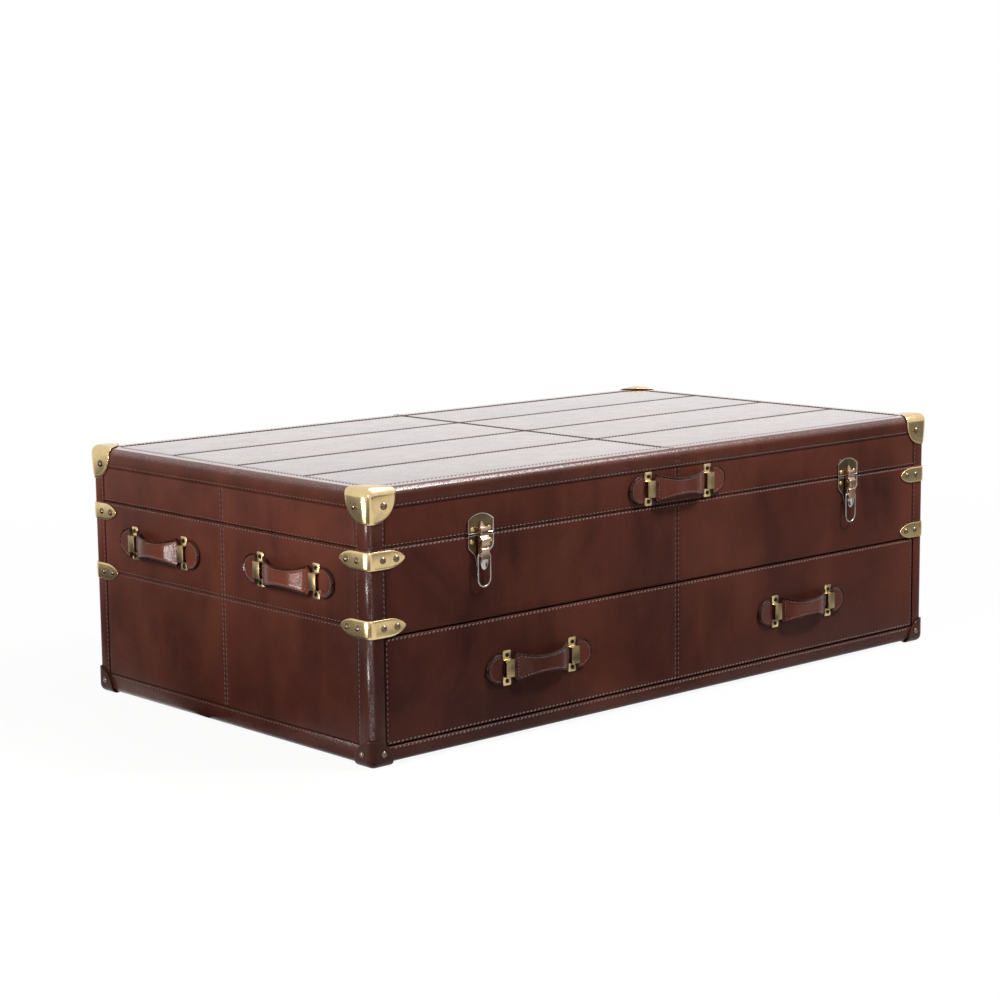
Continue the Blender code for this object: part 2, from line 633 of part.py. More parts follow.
def add_latches(lid_axis):
    """Two draw latches, standing undone with their bails hanging."""
    base = latch_base_mesh()
    lever = latch_lever_mesh()
    bail = latch_bail_mesh()
    keeper = latch_keeper_mesh()
    for name, x in (("left", -LATCH_X), ("right", LATCH_X)):
        pivot = Vector((x, FRONT - LEVER_OUT, BODY_TOP - LEVER_DROP))
        add("latch_base_" + name, base, "latch", pivot)
        arm = add("latch_lever_" + name, lever, "latch", pivot)
        add("latch_bail_" + name, bail, "latch", pivot + Vector((0, -BAIL_OUT, -BAIL_DOWN)), owner=arm)
        add("latch_keeper_" + name, keeper, "latch", (x, FRONT, SEAM), owner=lid_axis)


def hinge_leaf_mesh(length, side, own):
    """One leaf of the back hinge, with its axis at the origin: side is 1 for the lid and -1 for the body.

    The leaf lies on the back wall. Its stop rib stands off the leaf with a face turned away from the
    seam by half the lid's opening, so that the two ribs meet when the lid is open.
    """
    inner = SEAT - HINGE_OUT
    outer = inner + HINGE_LEAF
    clear = KNUCKLE_RADIUS + PLAY
    start = sqrt(clear ** 2 - outer ** 2) + PLAY
    rib_near = clear + 2 * PLAY
    leaf = [(inner, start), (outer, start), (outer, rib_near)]
    leaf += [(reach * cos(STOP_HALF), reach * sin(STOP_HALF)) for reach in (rib_near, HINGE_STOP_REACH)]
    leaf += [(outer, HINGE_RIB_HEIGHT), (outer, HINGE_LEAF_HEIGHT), (inner, HINGE_LEAF_HEIGHT)]
    mesh = prism_mesh([(y, side * z) for y, z in leaf], length, BACK_VIEW)
    pitch = length / HINGE_KNUCKLES
    web = HINGE_LEAF / 10
    meet = sqrt(KNUCKLE_RADIUS ** 2 - (outer - web) ** 2)
    first = Vector((outer - web, -meet)).angle_signed(Vector((1, 0)))
    knuckle = [(inner + web, -start - HINGE_LEAF), (outer - web, -start - HINGE_LEAF)]
    knuckle += arc((0, 0), KNUCKLE_RADIUS, first, pi, BORE_SIDES) + [(inner + web, 0)]
    shape = prism_mesh([(y, -side * z) for y, z in knuckle], pitch - PLAY, BACK_VIEW)
    for i in own:
        tool = shape.copy()
        tool.transform(Matrix.Translation((pitch * (i + 0.5) - length / 2, 0, 0)))
        mesh = combined(mesh, tool, "UNION")
    return mesh


def add_hinge(axis):
    """The long back hinge: the pin is held in the body leaf and turns in the lid leaf."""
    length = LENGTH - 2 * (BAND_LEG + HINGE_END_ROOM)
    half = length / 2 - PLAY
    body = hinge_leaf_mesh(length, -1, range(0, HINGE_KNUCKLES, 2))
    body = combined(body, rod_mesh(HINGE_PIN, (-half, 0, 0), (half, 0, 0)), "UNION")
    lid = hinge_leaf_mesh(length, 1, range(1, HINGE_KNUCKLES, 2))
    lid = combined(lid, rod_mesh(HINGE_PIN + PLAY / 3, (-length, 0, 0), (length, 0, 0)), "DIFFERENCE")
    add("hinge_body_leaf", body, "brass", axis.location)
    add("hinge_lid_leaf", lid, "brass", axis.location, owner=axis)


def main():
    """Build the whole trunk."""
    clear_scene()
    trunk = bpy.data.collections.new("steamer_trunk")
    bpy.context.scene.collection.children.link(trunk)
    lid_axis = add_axis("lid_axis", Vector((0, BACK + HINGE_OUT, SEAM)))
    drawer_axis = add_axis("drawer_axis", Vector((0, FRONT, BASE_TOP)))
    add_body()
    add_lid(lid_axis)
    add_drawer(drawer_axis)
    add_corners(lid_axis)
    add_handles(lid_axis, drawer_axis)
    add_latches(lid_axis)
    add_hinge(lid_axis)


main()
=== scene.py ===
"""Dresses the steamer trunk: leather, bindings, stitching, brass, latches, handles and the studio."""

import json
import math
from collections import namedtuple

import bmesh
import bpy
from mathutils import Matrix, Vector


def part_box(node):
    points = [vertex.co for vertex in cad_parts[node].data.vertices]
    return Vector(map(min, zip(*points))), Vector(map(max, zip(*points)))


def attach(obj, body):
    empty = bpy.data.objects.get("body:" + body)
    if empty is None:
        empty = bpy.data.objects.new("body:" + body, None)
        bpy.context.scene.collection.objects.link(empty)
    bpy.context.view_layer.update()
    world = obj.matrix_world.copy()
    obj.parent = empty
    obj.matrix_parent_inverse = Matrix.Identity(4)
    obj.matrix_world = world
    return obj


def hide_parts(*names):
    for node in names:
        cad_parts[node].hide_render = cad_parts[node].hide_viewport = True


bl_info = {
    "name": "Steamer Trunk Dresser",
    "version": (1, 0, 0),
    "blender": (4, 5, 0),
    "location": "View3D > Sidebar > Trunk",
    "description": "Leather, brass and stitching for a low steamer trunk with a lid and a drawer",
    "category": "Object",
}

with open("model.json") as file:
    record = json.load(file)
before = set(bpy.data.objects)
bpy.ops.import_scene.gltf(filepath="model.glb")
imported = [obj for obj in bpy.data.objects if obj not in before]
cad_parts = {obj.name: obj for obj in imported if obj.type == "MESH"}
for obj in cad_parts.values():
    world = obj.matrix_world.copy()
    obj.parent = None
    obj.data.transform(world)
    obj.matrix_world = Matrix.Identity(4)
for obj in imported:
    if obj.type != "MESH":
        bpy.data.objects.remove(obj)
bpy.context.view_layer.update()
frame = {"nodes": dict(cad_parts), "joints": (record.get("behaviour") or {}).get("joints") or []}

# Where the boards are, read from the frame
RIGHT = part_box("right_side_panel")[1].x
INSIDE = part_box("right_side_panel")[0].x
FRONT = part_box("front_panel")[0].y
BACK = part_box("back_panel")[1].y
MIDDLE = (FRONT + BACK) / 2
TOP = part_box("lid_top")[1].z
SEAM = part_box("lid_frame")[0].z
BODY_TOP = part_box("front_panel")[1].z
FRONT_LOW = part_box("front_panel")[0].z
RAIL_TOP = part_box("bottom_panel")[1].z
BODY_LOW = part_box("bottom_panel")[0].z

QUARTER = math.pi / 2
# Distances from a seam at which leather is cut, so that it can sink into the seam
CREASE_STEPS = (0.0, 0.0008, 0.002, 0.004, 0.007, 0.012)
# The place in the cloud pattern that the hides are cut from
HIDE = (4.6, 6.7, 1.7)
# How much lower than its binding a board lies, and how far hardware stays off the leather
LAP = 0.0001
SEAT = 0.0003
# Thickness of the lid's rails, and the small rounding of the boards' other edges
RAIL = 0.020
HEM = 0.0034
DRAWER_HEM = 0.0022
# How far the leather wraps round the posts and over the lower rail
WRAP = FRONT + 0.04
# The soft rim of a leather binding
BINDING_RIM = 0.00025
# A point inside the trunk, for a corner at the origin with the trunk towards +X and +Y
WITHIN = Vector((0.2, 0.2, 0.2))
# Pairs of sides that meet in a box's upright edges and in its top edges
UPRIGHTS = tuple((x, y) for x in ("-x", "+x") for y in ("-y", "+y"))
TOPS = tuple((side, "+z") for side in ("-x", "+x", "-y", "+y"))


class Wall(namedtuple("Wall", "normal sign level u v")):
    """A wall of the trunk: the axis it faces, which way, its level, and the axes along and up it."""

    @property
    def side(self):
        return ("-" if self.sign < 0 else "+") + "xyz"[self.normal]

    @property
    def out(self):
        way = Vector((0.0, 0.0, 0.0))
        way[self.normal] = self.sign
        return way

    def spot(self, u, v, lift=0.0):
        """The point at the wall's own coordinates, lifted off it."""
        point = Vector((0.0, 0.0, 0.0))
        point[self.normal] = self.level + self.sign * lift
        point[self.u] = u
        point[self.v] = v
        return point


WALLS = {
    "front": Wall(1, -1, FRONT, 0, 2),
    "back": Wall(1, 1, BACK, 0, 2),
    "left": Wall(0, -1, -RIGHT, 1, 2),
    "right": Wall(0, 1, RIGHT, 1, 2),
    "top": Wall(2, 1, TOP, 0, 1),
}
# The upright edges: name, place, and quarter turns from the front left one
CORNERS = (
    ("front_left", -RIGHT, FRONT, 0),
    ("front_right", RIGHT, FRONT, 1),
    ("back_right", RIGHT, BACK, 2),
    ("back_left", -RIGHT, BACK, 3),
)


def length_property(name, description, default):
    """A length that a user may change."""
    return bpy.props.FloatProperty(name=name, description=description, default=default, unit="LENGTH")


def colour_property(name, description, default):
    """A colour that a user may change."""
    return bpy.props.FloatVectorProperty(
        name=name, description=description, default=default, size=3, min=0.0, max=1.0, subtype="COLOR")


class TrunkSizes(bpy.types.PropertyGroup):
    """Sizes of the leather, the stitching and the brass"""

    edge: length_property("Edge rounding", "Radius of the trunk's outer edges", 0.0085)
    lid_edge: length_property("Lid edge rounding", "Radius of the lid's top edges", 0.012)
    binding: length_property("Binding thickness", "Leather strip over the edges", 0.0009)
    binding_leg: length_property("Binding width", "How far a corner binding reaches", 0.0285)
    top_binding_leg: length_property("Lid binding drop", "How far the lid's binding hangs down", 0.0285)
    pitch: length_property("Stitch pitch", "From one stitch to the next", 0.0076)
    stitch: length_property("Stitch length", "Length of one stitch", 0.0056)
    thread: length_property("Thread", "Thickness of the thread", 0.0015)
    row_gap: length_property("Row to seam", "From a seam to the rows beside it", 0.0033)
    cap_reach: length_property("Lid cap reach", "How far a lid cap's lobes reach", 0.0495)
    foot_reach: length_property("Foot cap reach", "How far a foot cap's lobes reach", 0.038)
    rivet: length_property("Rivet radius", "Radius of the domed rivets", 0.0057)


class TrunkColours(bpy.types.PropertyGroup):
    """Colours of the finishes"""

    # The dark colour is the leather's darkest patches, and also the painted shade along seams and borders and
    # towards the bottom.
    leather_dark: colour_property("Leather, dark", "The leather's deepest patches", (0.0215, 0.0062, 0.0047))
    leather_mid: colour_property("Leather", "Most of the leather", (0.052, 0.0142, 0.0096))
    # The warm colour is the leather's warm patches, and also the painted light near the top and the painted
    # sheen in vertical streaks.
    leather_warm: colour_property("Leather, warm", "Where the leather is rubbed", (0.098, 0.0280, 0.0158))
    thread: colour_property("Thread", "Stitching on the leather", (0.096, 0.064, 0.057))
    brass: colour_property("Brass", "Caps, bands and loops", (0.76, 0.57, 0.295))
    bronze: colour_property("Bronze", "Rivets", (0.19, 0.132, 0.090))
    copper: colour_property("Copper plate", "Latch levers", (0.46, 0.31, 0.23))
    nickel: colour_property("Worn nickel", "Latch plates and bails", (0.52, 0.46, 0.42))
    lining: colour_property("Lining", "Cloth inside the trunk", (0.40, 0.29, 0.19))
    wood: colour_property("Wood", "Drawer boards", (0.36, 0.21, 0.11))
    floor: colour_property("Floor", "Studio floor", (0.42, 0.42, 0.42))


class Value:
    """A shader socket that takes part in sums."""

    def __init__(self, finish, socket):
        self.finish = finish
        self.socket = socket

    def joined(self, operation, first, second):
        return self.finish.node("ShaderNodeMath", {"operation": operation}, {0: first, 1: second})

    def __add__(self, other):
        return self.joined("ADD", self, other)

    def __rsub__(self, other):
        return self.joined("SUBTRACT", other, self)

    def __mul__(self, other):
        return self.joined("MULTIPLY", self, other)


class Finish:
    """The nodes of a material or a world, which are added one by one."""

    def __init__(self, name, kind="materials"):
        self.owner = getattr(bpy.data, kind).new(name)
        self.owner.use_nodes = True
        self.tree = self.owner.node_tree
        self.tree.nodes.clear()

    def feed(self, socket, value):
        if isinstance(value, Value):
            self.tree.links.new(value.socket, socket)
        elif hasattr(value, "__len__") and len(value) == 3 and socket.type == "RGBA":
            socket.default_value = (*value, 1.0)
        else:
            socket.default_value = value

    def node(self, kind, settings=None, sockets=None, out=0):
        made = self.tree.nodes.new(kind)
        for key, value in (settings or {}).items():
            setattr(made, key, value)
        for key, value in (sockets or {}).items():
            self.feed(made.inputs[key], value)
        return Value(self, made.outputs[out])

    def place(self, scale=(1, 1, 1), shift=(0, 0, 0)):
        spot = self.node("ShaderNodeTexCoord", out="Object")
        return self.node("ShaderNodeMapping", {}, {"Vector": spot, "Scale": scale, "Location": shift})

    def noise(self, spot, scale, detail=2.0, rough=0.5, distortion=0.0):
        return self.node("ShaderNodeTexNoise", {}, {
            "Vector": spot, "Scale": scale, "Detail": detail, "Roughness": rough, "Distortion": distortion})

    def span(self, value, low, high, start=0.0, end=1.0):
        return self.node("ShaderNodeMapRange", {"clamp": True}, {0: value, 1: low, 2: high, 3: start, 4: end})

    def mix(self, share, first, second):
        return self.node("ShaderNodeMix", {"data_type": "RGBA"}, {0: share, 6: first, 7: second}, 2)

    def layer(self, tone, pattern, low, high, share, colour):
        """Lay a colour over a tone where a pattern is strong."""
        return self.mix(self.span(pattern, low, high, 0.0, share), tone, colour)

    def bump(self, height, strength, distance):
        return self.node("ShaderNodeBump", {}, {"Height": height, "Strength": strength, "Distance": distance})

    def mark(self, name):
        """What a mesh says at each vertex."""
        return self.node("ShaderNodeAttribute", {"attribute_name": name}, out="Fac")

    def backdrop(self):
        """1 for the rays that see the white backdrop: the camera's, and those by way of metal or glass."""
        seen = 0.0
        for ray in ("Camera", "Glossy", "Transmission"):
            path = self.node("ShaderNodeLightPath", out=f"Is {ray} Ray")
            seen = path.joined("MAXIMUM", seen, path)
        return seen

    def either(self, share, first, second):
        return self.node("ShaderNodeMixShader", {}, {0: share, 1: first, 2: second})

    def shown(self, shader, kind="Material"):
        """Let a shader be the one that is seen."""
        output = self.tree.nodes.new("ShaderNodeOutput" + kind)
        self.feed(output.inputs["Surface"], shader)
        return self.owner

    def surface(self, sockets):
        return self.shown(self.node("ShaderNodeBsdfPrincipled", {}, sockets, "BSDF"))


def sizes():
    return bpy.context.scene.trunk_sizes


def colours():
    return bpy.context.scene.trunk_colours


def dimmed(colour, share):
    return tuple(c * share for c in colour)


def shared(maker):
    """Make a finish once and hand out the same material after that."""
    made = {}

    def get(*key):
        if key not in made:
            made[key] = maker(*key)
        return made[key]

    return get


@shared
def leather_finish(kind):
    """Glossy dyed leather: mottled colour, fine pebbled grain, painted shade along seams and borders and
    towards the bottom, painted light near the top and painted sheen in vertical streaks, rubbed on edges.
    """
    shade, gloss, polish, coat_rough = {
        "cover": (1.0, 0.32, 0.0, 0.20),
        "lid": (1.0, 0.22, 1.0, 0.10),
        "binding": (0.90, 0.30, 0.08, 0.20),
        "foot": (0.62, 0.36, 0.30, 0.20),
        "strap": (1.32, 0.28, 0.45, 0.14),
        "strap_edge": (0.34, 0.26, 0.60, 0.14),
    }[kind]
    paint = colours()
    dark, mid, warm = (dimmed(c, shade) for c in (paint.leather_dark, paint.leather_mid, paint.leather_warm))
    finish = Finish("leather_" + kind)
    spot = finish.place()
    tall = finish.place((1.0, 1.0, 0.62), HIDE)
    cloud = finish.noise(tall, 7.5, 4.0, 0.58, 0.6)
    patch = finish.noise(tall, 4.2, 3.0, 0.5, 0.3)
    # Painted sheen: warm vertical streaks that stand in for blurred reflections on the leather.
    painted_sheen_streak = finish.noise(finish.place((1.0, 1.0, 0.10)), 26.0, 3.0, 0.6)
    height = finish.node("ShaderNodeSeparateXYZ", {}, {0: spot}, "Z")
    fleck = finish.noise(spot, 240.0, 2.0, 0.6)
    tone = finish.layer(dark, cloud, 0.34, 0.60, 1.0, mid)
    tone = finish.layer(tone, patch, 0.47, 0.70, 0.80, warm)
    tone = finish.layer(tone, painted_sheen_streak, 0.52, 0.80, 0.22, warm)
    # Painted shade darkens the leather towards the bottom, and painted warm light brightens it near the top,
    # for light that falls from above.
    tone = finish.layer(tone, height, 0.34, 0.04, 0.46, dark)
    tone = finish.layer(tone, height, 0.30, 0.36, 0.18, warm)
    tone = finish.layer(tone, fleck, 0.50, 0.72, 0.22, dimmed(dark, 0.6))
    # Painted shade: the leather is darkened beside its borders and seams, where gaps and creases fall into
    # shade.
    seam = finish.mark("seam")
    tone = finish.mix(seam * 0.8, tone, dimmed(dark, 0.40))
    pebble = finish.node("ShaderNodeTexVoronoi", {"feature": "SMOOTH_F1"},
                         {"Vector": spot, "Scale": 620.0, "Smoothness": 0.55})
    pore = finish.noise(spot, 1500.0, 2.0, 0.6)
    wrinkle = finish.noise(spot, 130.0, 3.0, 0.55)
    grain = pebble * -0.55 + pore * 0.25 + wrinkle * 0.55
    rough = finish.span(finish.noise(spot, 34.0, 3.0, 0.6), 0.35, 0.70, gloss - 0.04, gloss + 0.08)
    if kind == "lid":
        polished = 1.0 - seam * 0.9
    else:
        worn = finish.span(finish.noise(spot, 560.0, 2.0, 0.6), 0.40, 0.64, 0.10, 1.0)
        polished = (finish.mark("edge") + polish) * worn
    return finish.surface({
        "Base Color": tone,
        "Roughness": rough + seam * 0.4,
        "IOR": 1.45 if kind == "lid" else 1.22,
        "Specular Tint": (0.44, 0.24, 0.19, 1.0),
        "Coat Weight": polished,
        "Coat Roughness": coat_rough,
        "Coat IOR": 2.0 if kind in ("cover", "binding") else 1.5,
        "Normal": finish.bump(grain, 0.32 if kind == "lid" else 0.45, 0.0006),
    })


@shared
def thread_finish(kind, shade):
    """Waxed linen thread with a twist."""
    base = dimmed(colours().thread, shade)
    finish = Finish("thread_" + kind)
    spot = finish.place()
    twist = finish.noise(spot, 2600.0, 1.0, 0.5)
    return finish.surface({
        "Base Color": finish.layer(dimmed(base, 0.62), finish.noise(spot, 60.0), 0.35, 0.7, 1.0, base),
        "Roughness": 0.55,
        "Normal": finish.bump(twist, 0.5, 0.0003),
    })


@shared
def metal_finish(kind):
    """Brass, bronze, copper plate, nickel or blackened steel: brushed, with tarnish in patches; one darker
    brass is a painted dark reflection.
    """
    paint = colours()
    plain = (paint.brass, paint.bronze, paint.copper, paint.nickel)
    brass, bronze, copper, nickel = (tuple(c) for c in plain)
    base, tarnish, low, high, dull = {
        "brass": (brass, (0.44, 0.31, 0.14), 0.21, 0.24, 0.40),
        "old_brass": (dimmed(brass, 0.95), (0.30, 0.21, 0.095), 0.26, 0.32, 0.60),
        # The darker brass on the loops' box faces is a painted dark reflection.
        "worn_brass": (dimmed(brass, 0.46), (0.12, 0.085, 0.04), 0.28, 0.38, 0.60),
        "bronze": (bronze, (0.085, 0.050, 0.032), 0.20, 0.36, 0.70),
        "copper": (copper, (0.24, 0.145, 0.10), 0.18, 0.34, 0.55),
        "nickel": (nickel, (0.26, 0.21, 0.18), 0.16, 0.32, 0.60),
        "wire": (dimmed(nickel, 0.75), (0.19, 0.13, 0.11), 0.16, 0.30, 0.60),
        "black": ((0.040, 0.031, 0.022), (0.015, 0.012, 0.009), 0.30, 0.46, 0.80),
        "dark_plate": ((0.150, 0.108, 0.058), (0.050, 0.036, 0.020), 0.26, 0.46, 0.80),
    }[kind]
    finish = Finish("metal_" + kind)
    spot = finish.place()
    cloud = finish.noise(spot, 55.0, 4.0, 0.6, 0.4)
    fleck = finish.noise(spot, 480.0, 2.0, 0.6)
    brush = finish.noise(finish.place((1.0, 1.0, 9.0)), 420.0, 2.0, 0.5)
    return finish.surface({
        "Base Color": finish.layer(base, cloud, 0.42, 0.78, dull, tarnish),
        "Metallic": 1.0,
        "Roughness": finish.span(cloud + brush * 0.3, 0.45, 0.95, low, high),
        "Normal": finish.bump(brush * 0.6 + fleck * 0.4, 0.007, 0.0002),
    })


@shared
def lining_finish():
    """Plain woven cloth."""
    base = tuple(colours().lining)
    finish = Finish("lining_cloth")
    spot = finish.place()
    warp, weft, lift = (
        finish.node("ShaderNodeTexWave", {"bands_direction": bands},
                    {"Vector": spot, "Scale": 190.0, "Distortion": 0.6, "Detail": 1.0}, "Fac")
        for bands in ("X", "Y", "Z"))
    threads = (warp + weft + lift) * 0.333
    worn = finish.noise(spot, 6.0, 3.0, 0.55)
    tone = finish.mix(threads, dimmed(base, 0.62), base)
    tone = finish.layer(tone, worn, 0.45, 0.8, 0.4, dimmed(base, 0.7))
    return finish.surface({
        "Base Color": tone,
        "Roughness": 0.85,
        "Normal": finish.bump(threads, 0.35, 0.0006),
    })


@shared
def wood_finish(along):
    """Oiled softwood with its grain along one axis."""
    base = tuple(colours().wood)
    finish = Finish("wood_" + along.lower())
    spot = finish.place((0.08, 1.0, 1.0) if along == "X" else (1.0, 0.08, 1.0))
    rings = finish.noise(spot, 42.0, 5.0, 0.6, 1.2)
    fibre = finish.noise(spot, 420.0, 2.0, 0.6)
    tone = finish.layer(dimmed(base, 0.55), rings, 0.35, 0.68, 1.0, base)
    tone = finish.layer(tone, fibre, 0.5, 0.8, 0.35, dimmed(base, 0.42))
    return finish.surface({
        "Base Color": tone,
        "Roughness": finish.span(fibre, 0.3, 0.7, 0.48, 0.66),
        "Normal": finish.bump(rings * 0.6 + fibre * 0.4, 0.25, 0.0005),
    })


class Field:
    """A leather face between its borders, drawn in along its seams, so that leather and thread agree."""

    def __init__(self, wall, u_range, v_range, u_seams=(), v_seams=(), crease=0.0004, dark=0.45, reach=0.004):
        self.wall = WALLS[wall]
        self.crease, self.dark, self.reach = crease, dark, reach
        self.u_range, self.v_range = u_range, v_range
        self.u_seams, self.v_seams = u_seams, v_seams

    def border(self, u, v):
        return min(u - self.u_range[0], self.u_range[1] - u, v - self.v_range[0], self.v_range[1] - v)

    def gap(self, u, v):
        seams = [abs(u - seam) for seam in self.u_seams] + [abs(v - seam) for seam in self.v_seams]
        return max(0.0, min(seams + [self.border(u, v)]))

    def shadow(self, u, v):
        """How much painted shade the leather gets beside its borders, and less so beside its sewn seams."""
        border = 1 - self.border(u, v) / CREASE_STEPS[3]
        return min(1.0, max(0.0, border, self.dark * (1 - self.gap(u, v) / self.reach)))

    def rise(self, u, v):
        """How far the leather stands above the recess that the bindings lie in."""
        near = max(0.0, 1 - self.gap(u, v) / CREASE_STEPS[-1])
        crease = max(0.0, 1 - self.gap(u, v) / CREASE_STEPS[2])
        return (sizes().binding - LAP) * (1 - near ** 2) - self.crease * crease

    def cuts(self, axis):
        """Where the board is cut so that its leather can follow the seams."""
        limits, seams = (self.u_range, self.u_seams) if axis == self.wall.u else (self.v_range, self.v_seams)
        places = {limits[0] + step for step in CREASE_STEPS} | {limits[1] - step for step in CREASE_STEPS}
        for seam in seams:
            places |= {seam + step for step in CREASE_STEPS} | {seam - step for step in CREASE_STEPS}
        return sorted(places)


def everything(bm):
    return bm.verts[:] + bm.edges[:] + bm.faces[:]


def moved(bm, matrix):
    bmesh.ops.transform(bm, matrix=matrix, verts=bm.verts)
    return bm


def set_at(place, quarters):
    """The matrix that turns a thing by quarter turns and sets it at a place."""
    return Matrix.Translation(place) @ Matrix.Rotation(quarters * QUARTER, 4, "Z")


def steps_between(first, last, count):
    return [first + (last - first) * i / count for i in range(count + 1)]


def bevelled(bm, edges, width, segments=2):
    bmesh.ops.bevel(bm, geom=edges, offset=width, segments=segments, profile=0.5, affect="EDGES", material=-1,
                    clamp_overlap=True)
    return bm


def softened(bm, width, angle=25, segments=2):
    """Round the edges that are sharper than an angle."""
    edges = [e for e in bm.edges if e.calc_face_angle(0.0) > math.radians(angle)]
    return bevelled(bm, edges, width, segments)


def slice_at(bm, axis, place, kept=0):
    """Cut a mesh across an axis, and keep only the side of the cut that is asked for, if one is."""
    level, normal = Vector((0, 0, 0)), Vector((0, 0, 0))
    level[axis], normal[axis] = place, kept or 1
    bmesh.ops.bisect_plane(bm, geom=everything(bm), dist=1e-7, plane_co=level, plane_no=normal,
                           clear_inner=bool(kept))


def block(low, high, rounded=(), segments=4):
    """A box whose edges between pairs of sides are rounded, each pair with its own radius."""
    low, high = Vector(low), Vector(high)
    bm = bmesh.new()
    bmesh.ops.create_cube(bm, size=1.0)
    bmesh.ops.scale(bm, vec=high - low, verts=bm.verts)
    bmesh.ops.translate(bm, vec=(low + high) / 2, verts=bm.verts)

    def lies_on(edge, side):
        axis = "xyz".index(side[1])
        bound = low[axis] if side[0] == "-" else high[axis]
        return all(abs(vert.co[axis] - bound) < 1e-6 for vert in edge.verts)

    for radius in sorted({radius for _, radius in rounded}, reverse=True):
        pairs = [pair for pair, own in rounded if own == radius]
        edges = [e for pair in pairs for e in bm.edges if all(lies_on(e, side) for side in pair)]
        bevelled(bm, edges, radius, segments)
    return bm


def pad(bm, field):
    """Cut a board along its seams and lift its leather between them."""
    wall = field.wall
    level = wall.level - wall.sign * sizes().binding
    for axis in (wall.u, wall.v):
        for place in field.cuts(axis):
            slice_at(bm, axis, place)
    # The seam mark carries painted shade, darker beside the borders and the seams.
    seam = bm.verts.layers.float.new("seam")
    for vert in bm.verts:
        if abs(vert.co[wall.normal] - level) < 1e-5:
            u, v = vert.co[wall.u], vert.co[wall.v]
            vert[seam] = field.shadow(u, v)
            vert.co[wall.normal] += wall.sign * field.rise(u, v)


def lined(bm, way, limit=0.9):
    """Give the faces that look one way the second finish."""
    bm.normal_update()
    for face in bm.faces:
        face.material_index = int(face.normal.dot(Vector(way)) > limit)
    return bm


def covered(low, high, rounded, inward, field=None, cuts=()):
    """A board in its leather, with its seams and other cuts, and the second finish on its inside."""
    board = block(low, high, rounded)
    if field:
        pad(board, field)
    for axis, place in cuts:
        slice_at(board, axis, place)
    return lined(board, inward)


def joined(parts):
    """Put several bmeshes in one."""
    whole = parts[0]
    for part in parts[1:]:
        mesh = mesh_of("part", part)
        whole.from_mesh(mesh)
        bpy.data.meshes.remove(mesh)
    return whole


def painted(bm, index):
    for face in bm.faces:
        face.material_index = index
    return bm


def mesh_of(name, bm, finishes=()):
    mesh = bpy.data.meshes.new(name)
    bm.to_mesh(mesh)
    bm.free()
    for finish in finishes:
        mesh.materials.append(finish)
    return mesh


def linked(name, data):
    made = bpy.data.objects.new(name, data)
    bpy.context.scene.collection.objects.link(made)
    return made


def piece(name, bm, finishes, body, nodes=(), smooth=35.0):
    """Make an object of a bmesh, shade it, and let it ride on its body."""
    mesh = mesh_of(name, bm, finishes)
    mesh.shade_smooth()
    mesh.set_sharp_from_angle(angle=math.radians(smooth))
    made = linked(name, mesh)
    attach(made, body)
    if nodes:
        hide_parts(*nodes)


def fields():
    """The leather faces of the trunk, each with its seams and borders."""
    leg = sizes().binding_leg
    drop = TOP - sizes().top_binding_leg
    across = (-RIGHT + leg, RIGHT - leg)
    deep = (FRONT + leg, BACK - leg)
    low = BODY_LOW + leg
    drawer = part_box("drawer_front")
    belt = FRONT_LOW + 0.0147
    top_seams = (MIDDLE - 0.165, MIDDLE, MIDDLE + 0.168)
    made = {
        "lid_top": Field("top", across, deep, (0.0,), top_seams, 0.0011, 1.0, 0.007),
        "front": Field("front", across, (FRONT_LOW, BODY_TOP), (0.0,)),
        "drawer": Field("front", (drawer[0].x, drawer[1].x), (drawer[0].z, drawer[1].z), (0.0,)),
        "back": Field("back", across, (low, BODY_TOP), (0.0,), (belt,)),
        "lid_front": Field("front", across, (SEAM, drop), (0.0,)),
        "lid_back": Field("back", across, (SEAM, drop), (0.0,)),
    }
    for end in ("left", "right"):
        made[end] = Field(end, deep, (low, BODY_TOP), (MIDDLE,), (belt,))
        made["lid_" + end] = Field(end, deep, (SEAM, drop), (MIDDLE,))
    return made


class TRUNK_OT_lid_leather(bpy.types.Operator):
    """Cover the lid's top and its four rails"""

    bl_idname = "trunk.lid_leather"
    bl_label = "Lid leather"

    def execute(self, context):
        field = fields()
        recess = sizes().binding
        skin = recess + LAP
        low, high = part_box("lid_top")
        edges = [(pair, sizes().lid_edge - skin) for pair in UPRIGHTS + TOPS]
        top = covered(low + Vector((skin, skin, 0)), high - Vector((skin, skin, recess)), edges, (0, 0, -1),
                      field["lid_top"])
        finishes = (leather_finish("lid"), lining_finish())
        piece("lid_top_leather", top, finishes, "lid", ("lid_top",))
        rails = []
        for wall in ("front", "back", "left", "right"):
            here = WALLS[wall]
            low, high = (Vector(corner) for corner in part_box("lid_frame"))
            depths = sorted(here.level - here.sign * depth for depth in (recess, RAIL))
            low[here.normal], high[here.normal] = depths
            edges = [((here.side, "-z"), HEM)]
            if wall in ("front", "back"):
                low.x, high.x = low.x + skin, high.x - skin
                edges += [((here.side, end), sizes().edge - skin) for end in ("-x", "+x")]
            else:
                low.y, high.y = FRONT + RAIL + LAP, BACK - RAIL - LAP
            rails.append(covered(low, high, edges, -here.out, field["lid_" + wall]))
        finishes = (leather_finish("cover"), lining_finish())
        piece("lid_rail_leather", joined(rails), finishes, "lid", ("lid_frame",))
        return {"FINISHED"}


